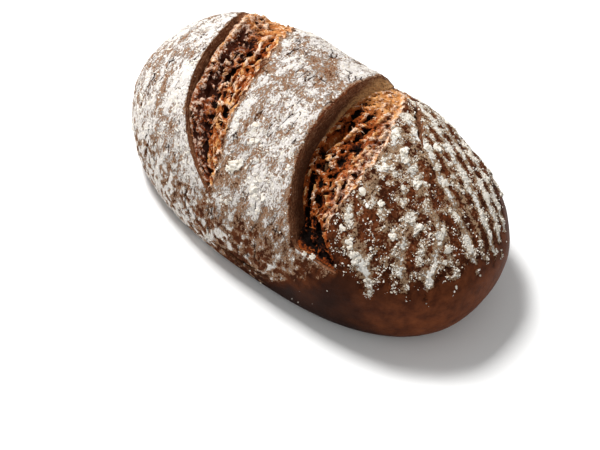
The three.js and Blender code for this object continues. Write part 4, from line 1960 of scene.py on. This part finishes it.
@dataclass(frozen=True)
class Scatter:
    """Many small uneven bits that lie on a piece, spread by one tree of geometry nodes.

    The piece says where they lie by an attribute, from 0 to 1, and which way they are
    drawn out by the vector attribute "along".
    """

    name: str
    bit: Bit
    where: str
    per_square_metre: float
    smallest: float
    largest: float
    rarity: float
    proportions: Triple
    tilt: float
    seed: int
    sides: int = 4
    rings: int = 4
    brighten: float = 0.0
    uneven: float = 1.5
    crease_degrees: float = 50.0
    kinds: int = 6

    def lump(self, tree: Tree, kind: int) -> Socket:
        """One uneven lump of unit size.

        Args:
            tree: the node tree it is made in.
            kind: which of the kinds it is.

        Returns:
            Its geometry.
        """
        size = {"Segments": self.sides, "Rings": self.rings, "Radius": 1.0}
        ball = add_node(tree, "GeometryNodeMeshUVSphere", size, "Mesh")
        place = add_node(tree, "GeometryNodeInputPosition")
        moved = add_node(tree, VECTOR, (place, (7.0 * kind, 3.0 * kind, 0.0)), operation="ADD")
        wave = add_node(tree, NOISE, {"Vector": moved, "Scale": 1.3, "Detail": 2.0}, 1)
        centred = add_node(tree, VECTOR, (wave, (-0.5, -0.5, -0.5)), operation="ADD")
        offset = add_node(tree, VECTOR, {0: centred, "Scale": self.uneven}, operation="SCALE")
        return add_node(tree, "GeometryNodeSetPosition", {"Geometry": ball, "Offset": offset})

    def strand(self, tree: Tree, kind: int) -> Socket:
        """One arched strand that tapers to both ends, two units long.

        Args:
            tree: the node tree it is made in.
            kind: which of the kinds it is.

        Returns:
            Its geometry.
        """
        bend, twist = (self.uneven * (lattice(kind, way, self.seed) - 0.5) for way in (0, 1))
        arch = {
            "Resolution": self.rings,
            "Start": (-1.0, 0.3 * twist, -0.12),
            "Start Handle": (-0.4, bend, 0.24),
            "End Handle": (0.3, -0.6 * twist, 0.2),
            "End": (1.0, 0.2 * bend, -0.1),
        }
        course = add_node(tree, "GeometryNodeCurvePrimitiveBezierSegment", arch)
        share = add_node(tree, "GeometryNodeSplineParameter", output="Factor")
        half = add_node(tree, MATH, (share, math.pi), operation="MULTIPLY")
        belly = add_node(tree, MATH, (half,), operation="SINE")
        radius = add_node(tree, MATH, (belly, 0.9, 0.12), operation="MULTIPLY_ADD")
        taper = {"Curve": course, "Radius": radius}
        ring = {"Resolution": self.sides, "Radius": self.proportions[1]}
        swept = {
            "Curve": add_node(tree, "GeometryNodeSetCurveRadius", taper),
            "Profile Curve": add_node(tree, "GeometryNodeCurvePrimitiveCircle", ring),
            "Fill Caps": True,
        }
        return add_node(tree, "GeometryNodeCurveToMesh", swept)

    def tree(self) -> Tree:
        """Makes the node tree that scatters the bits.

        Returns:
            The tree.
        """
        tree = bpy.data.node_groups.new(f"scatter {self.name}", "GeometryNodeTree")
        face = tree.interface
        for kind, names in (
            ("Geometry", ("Geometry",)),
            ("Float", ("Density", "Smallest", "Largest", "Tilt", "Brighten")),
            ("Int", ("Seed",)),
            ("Material", ("Material",)),
        ):
            for name in names:
                face.new_socket(name, in_out="INPUT", socket_type=f"NodeSocket{kind}")
        face.new_socket("Geometry", in_out="OUTPUT", socket_type="NodeSocketGeometry")
        given = add_node(tree, "NodeGroupInput").node.outputs
        seed = given["Seed"]
        where, proud_and_shade, along = (
            add_node(tree, "GeometryNodeInputNamedAttribute", {"Name": name}, data_type=kind)
            for name, kind in ((self.where, "FLOAT"), ("proud_and_shade", "FLOAT"), ("along", "FLOAT_VECTOR"))
        )

        # Where the bits lie, and how much brighter than the piece each is.
        density = add_node(tree, MATH, (where, given["Density"]), operation="MULTIPLY")
        spread = {"Mesh": given["Geometry"], "Density": density, "Seed": seed}
        spots = add_node(tree, "GeometryNodeDistributePointsOnFaces", spread, "Points")
        luck = add_node(tree, RANDOM, {"Max": given["Brighten"], "Seed": seed}, 1)
        brighter = add_node(tree, MATH, (proud_and_shade, luck), operation="ADD")
        stored = {"Geometry": spots, "Name": "proud_and_shade", "Value": brighter}
        points = add_node(
            tree, "GeometryNodeStoreNamedAttribute", stored, data_type="FLOAT", domain="POINT"
        )

        # The kinds of bit to pick from, and the size and proportions of each.
        kinds = add_node(tree, "GeometryNodeJoinGeometry")
        form = self.strand if self.bit is Bit.STRAND else self.lump
        for kind in range(self.kinds):
            one = add_node(tree, "GeometryNodeGeometryToInstance", (form(tree, kind),))
            tree.links.new(one, kinds.node.inputs[0])
        draw = add_node(tree, RANDOM, {"Seed": seed}, 1)
        rare = add_node(tree, MATH, (draw, self.rarity), operation="POWER")
        size = add_node(tree, RANGE, {0: rare, 3: given["Smallest"], 4: given["Largest"]})
        usual = (1.0, 1.0, 1.0) if self.bit is Bit.STRAND else self.proportions
        least, most = (tuple(share * side for side in usual) for share in (0.7, 1.3))
        aspect, swing = (
            add_node(tree, RANDOM, {0: low, 1: high, "Seed": seed}, data_type="FLOAT_VECTOR")
            for low, high in ((least, most), ((-0.5, -0.5, -1.0), (0.5, 0.5, 1.0)))
        )
        scale, tilted = (
            add_node(tree, VECTOR, {0: vector, "Scale": by}, operation="SCALE")
            for vector, by in ((aspect, size), (swing, given["Tilt"]))
        )

        # Which way each lies: flat on the piece, along it, and tilted a little.
        lying = add_node(
            tree,
            "FunctionNodeAxesToRotation",
            {"Primary Axis": spots.node.outputs["Normal"], "Secondary Axis": along},
            primary_axis="Z",
            secondary_axis="X",
        )
        turned = add_node(
            tree, "FunctionNodeRotateRotation", (lying, tilted), rotation_space="LOCAL"
        )
        laid = {"Points": points, "Instance": kinds, "Pick Instance": True}
        laid |= {"Rotation": turned, "Scale": scale}
        placed = add_node(tree, "GeometryNodeInstanceOnPoints", laid)
        real = add_node(tree, "GeometryNodeRealizeInstances", (placed,))
        finished = {"Geometry": real, "Material": given["Material"]}
        add_node(tree, "NodeGroupOutput", (add_node(tree, "GeometryNodeSetMaterial", finished),))
        return tree

    def build(self, base: Object, finish: Material) -> Object:
        """Scatters the bits.

        Args:
            base: the piece they lie on.
            finish: their finish.

        Returns:
            All of them, as one piece.
        """
        values = {
            "Density": self.per_square_metre,
            "Smallest": self.smallest * MM,
            "Largest": self.largest * MM,
            "Tilt": self.tilt,
            "Brighten": self.brighten,
            "Seed": self.seed,
            "Material": finish,
        }
        mesh = grown(self.tree(), base, values)
        mesh.name = self.name
        shade(mesh, self.crease_degrees)
        return link(self.name, mesh)


@dataclass(frozen=True)
class FlourLumps:
    """The biggest lumps of flour: where each lies (x, turn) and how wide it is."""

    form: LoafForm
    shift: Array
    wide: float = 1.25
    high: float = 0.5
    sunk: float = 0.2
    crease_degrees: float = 40.0
    lumps: tuple[Triple, ...] = (
        (-20.0, 32.5, 3.1), (-17.4, 35.5, 2.3), (-22.6, 30.0, 1.6), (-16.9, 47.5, 1.5),
        (-14.5, 49.0, 1.2), (-2.4, 30.0, 2.0), (0.4, 27.5, 1.5), (5.6, 22.5, 1.6),
        (42.5, 99.0, 2.2), (53.8, 93.5, 2.5), (52.9, 79.0, 2.0), (60.4, 105.5, 2.0),
        (71.7, 84.0, 2.1), (58.5, 89.5, 1.4), (64.0, 62.0, 1.8), (61.5, 36.5, 1.8),
        (64.0, 34.0, 1.5), (66.5, 31.5, 1.8), (70.5, 28.5, 1.5), (80.0, 52.0, 1.9),
        (88.0, 66.0, 1.7), (47.0, 18.5, 1.5), (42.0, 17.5, 1.2),
    )

    def build(self, finish: Material) -> Object:
        """Makes and dresses the lumps.

        Args:
            finish: the finish of loose flour.

        Returns:
            All of them, as one piece.
        """
        whole = bmesh.new()
        bmesh.ops.create_icosphere(whole, subdivisions=4, radius=1.0)
        whole.verts.ensure_lookup_table()
        ball = np.array([vert.co[:] for vert in whole.verts])
        sides = np.array([[vert.index for vert in face.verts] for face in whole.faces])
        whole.free()
        points, faces = [], []
        for number, (x, turn, radius) in enumerate(self.lumps):
            middle = self.form.on_skin(np.array(x), np.array(turn), np.array(self.sunk))
            out = self.form.outward(middle)
            side = np.cross(out, [0.3, 1.0, 0.0])
            side /= np.linalg.norm(side)
            ahead = np.cross(side, out)
            place = middle + 1.7 * ball + 10.0 * number
            uneven = 0.55 * grain(place, (0.9,) * 3, 71) + 0.3 * grain(place, (0.4,) * 3, 72)
            local = radius * ball * (0.92 + uneven)[:, None]
            faces.append(sides + len(ball) * number)
            points.append(
                middle
                + local[:, :1] * side
                + self.wide * local[:, 1:2] * ahead
                + self.high * local[:, 2:] * out
            )
        places = (np.concatenate(points) - self.shift) * MM
        mesh = make_mesh("flour_lumps", places, np.concatenate(faces))
        mesh.materials.append(finish)
        shade(mesh, self.crease_degrees)
        return link("flour_lumps", mesh)


FLOUR_GRAINS = Scatter(
    name="flour_grains", bit=Bit.LUMP, where="grains", per_square_metre=2400000.0,
    smallest=0.18, largest=0.8, rarity=2.2, proportions=(1.1, 1.1, 0.6), tilt=3.0, seed=7,
    rings=3,
)
FLOUR_CLUMPS = Scatter(
    name="flour_clumps", bit=Bit.LUMP, where="clumps", per_square_metre=70000.0,
    smallest=0.6, largest=2.4, rarity=3.2, proportions=(1.0, 1.2, 0.38), tilt=0.5, seed=8,
    sides=9, rings=6, uneven=2.8,
)
FLOUR_FLAKES = Scatter(
    name="flour_flakes", bit=Bit.LUMP, where="flakes", per_square_metre=330000.0,
    smallest=0.22, largest=0.95, rarity=2.4, proportions=(0.9, 1.2, 0.4), tilt=0.3, seed=9,
    sides=5, rings=3, uneven=2.0,
)
CRUMB_NUGGETS = Scatter(
    name="nuggets", bit=Bit.LUMP, where="torn", per_square_metre=590000.0,
    smallest=0.15, largest=0.48, rarity=1.4, proportions=(1.0, 1.3, 0.8), tilt=2.0, seed=21,
    brighten=0.25, uneven=1.2, crease_degrees=180.0,
)
CRUMB_STRANDS = Scatter(
    name="strands", bit=Bit.STRAND, where="torn", per_square_metre=150000.0,
    smallest=0.8, largest=2.6, rarity=1.8, proportions=(1.0, 0.085, 0.085), tilt=0.36, seed=22,
    rings=6, brighten=0.35, uneven=0.9, crease_degrees=180.0,
)


def grown(tree: Tree, base: Object, values: dict) -> Mesh:
    """Runs a geometry node tree over a copy of a piece.

    Args:
        tree: the node tree.
        base: the piece it starts from.
        values: its inputs by name.

    Returns:
        The mesh that it makes.
    """
    holder = link("holder", base.data.copy())
    modifier = holder.modifiers.new("grown", "NODES")
    modifier.node_group = tree
    for item in tree.interface.items_tree:
        if item.in_out == "INPUT" and item.name in values:
            modifier[item.identifier] = values[item.name]
    mesh = baked(holder)
    holder.modifiers.clear()
    remove(holder)
    return mesh


# -------- studio


@dataclass
class Studio:
    """A plain pale floor, soft lights and the camera."""

    shift: Array
    floor_colour: str = "#f4f4f3"
    aim: Triple = (0.0, 0.0, 45.0)
    distance: float = 879.83
    lean: float = 50.0
    swing: float = 20.0
    roll: float = 9.87
    lens: float = 85.0
    sensor: float = 36.0
    frame_width: float = 600.0
    frame_height: float = 450.0
    aim_pixel: tuple[float, float] = (317.5, 164.2)
    floor_reach: float = 2.0
    floor_roughness: float = 0.9
    surroundings: float = 0.38
    # Each light's name, where it hangs in metres, the length of its sides and its power.
    lights: tuple[tuple[str, Triple, float, float], ...] = (
        ("key", (-0.6, 0.05, 1.1), 0.35, 22.5),
        ("fill", (0.9, -0.8, 0.9), 0.9, 2.0),
        ("bounce", (-0.75, -0.7, 0.3), 0.8, 1.2),
    )
    lit: Triple = (0.0, 0.0, 0.05)

    def camera(self) -> None:
        """Stands the camera at its place and turns it."""
        lean, swing, roll = (math.radians(v) for v in (self.lean, self.swing, self.roll))
        level = math.cos(swing)
        back = np.array([math.sin(swing), -level * math.cos(lean), level * math.sin(lean)])
        side = np.cross([0.0, 0.0, 1.0], back)
        side /= np.linalg.norm(side)
        up = np.cross(back, side)
        rolled_side = math.cos(roll) * side + math.sin(roll) * up
        rolled_up = -math.sin(roll) * side + math.cos(roll) * up
        focal = self.lens / self.sensor * self.frame_width
        right = self.aim_pixel[0] - self.frame_width / 2.0
        down = self.aim_pixel[1] - self.frame_height / 2.0
        ray = np.array([right / focal, -down / focal, -1.0])
        ray /= np.linalg.norm(ray)
        ahead = np.array([0.0, 0.0, -1.0])
        axis = np.cross(ray, ahead)
        sine = np.linalg.norm(axis)
        axis /= sine
        x, y, z = axis
        twist = np.array([[0.0, -z, y], [z, 0.0, -x], [-y, x, 0.0]])
        turned = np.eye(3) + sine * twist + (1.0 - ray @ ahead) * twist @ twist
        axes = np.column_stack([rolled_side, rolled_up, back]) @ turned
        place = (np.array(self.aim) - self.shift + self.distance * back) * MM
        matrix = np.eye(4)
        matrix[:3, :3] = axes
        matrix[:3, 3] = place
        data = bpy.data.cameras.new("camera")
        data.lens = self.lens
        data.sensor_width = self.sensor
        data.clip_start = 0.01
        made = link("camera", data)
        made.matrix_world = Matrix(matrix.tolist())
        bpy.context.scene.camera = made

    def light(self, name: str, place: Triple, size: float, power: float) -> None:
        """Hangs a soft square light that looks at the loaf.

        Args:
            name: the light's name.
            place: where it hangs, in metres.
            size: the length of its sides in metres.
            power: its power in watts.
        """
        data = bpy.data.lights.new(name, "AREA")
        data.size = size
        data.energy = power
        made = link(name, data)
        made.location = place
        towards = Vector(self.lit) - made.location
        made.rotation_euler = towards.to_track_quat("-Z", "Y").to_euler()

    def build(self) -> None:
        """Makes the floor, the lights, the surroundings and the camera."""
        reach = self.floor_reach
        corners = np.array([[x, y, 0.0] for x, y in ((-1, -1), (1, -1), (1, 1), (-1, 1))]) * reach
        floor = link("floor", make_mesh("floor", corners, np.array([[0, 1, 2, 3]])))
        material = bpy.data.materials.new("matt white paper")
        material.use_nodes = True
        shader = material.node_tree.nodes["Principled BSDF"]
        shader.inputs["Base Color"].default_value = linear(self.floor_colour)
        shader.inputs["Roughness"].default_value = self.floor_roughness
        floor.data.materials.append(material)
        world = bpy.data.worlds.new("studio")
        world.use_nodes = True
        background = world.node_tree.nodes["Background"]
        background.inputs["Color"].default_value = (1.0, 1.0, 1.0, 1.0)
        background.inputs["Strength"].default_value = self.surroundings
        bpy.context.scene.world = world
        bpy.context.scene.view_settings.view_transform = "Standard"
        for name, place, size, power in self.lights:
            self.light(name, place, size, power)
        self.camera()


# -------- the loaf


def carry(piece: Object) -> None:
    """Gives a finished piece to the loaf's body, in place of the loaf's plain solid.

    Args:
        piece: the piece.
    """
    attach(piece, BODY)
    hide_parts(NODE)
    log.info("%s: %d faces", piece.name, len(piece.data.polygons))


def main() -> None:
    """Builds the loaf and the studio."""
    form = LoafForm()
    flouring = Flouring(form)
    crust = Crust(form, flouring)
    # Inside the narrow splits the painted shade deep down is near black.
    split_finish = BladeCut(name="split rye crust", depth_mm=2.6, deep_brown="#140703").build()
    skin = crust.build(FlouredCrust().build(), BladeCut().build(), split_finish)
    carry(skin)
    flour_finish = DryFlour().build()
    for scatter in (FLOUR_FLAKES, FLOUR_GRAINS, FLOUR_CLUMPS):
        carry(scatter.build(skin, flour_finish))
    carry(FlourLumps(form, crust.shift).build(flour_finish))
    crumb_finish = TornCrumbFinish().build()
    for score in form.scores:
        crumb = TornCrumb(form, score, crust.shift).build(crumb_finish)
        carry(crumb)
        for scatter in (CRUMB_NUGGETS, CRUMB_STRANDS):
            own = replace(scatter, name=f"{scatter.name}_{score.side.value}")
            carry(own.build(crumb, crumb_finish))
    Studio(crust.shift).build()


if __name__ == "__main__":
    logging.basicConfig(level=logging.INFO, format="%(name)s %(message)s")
    main()
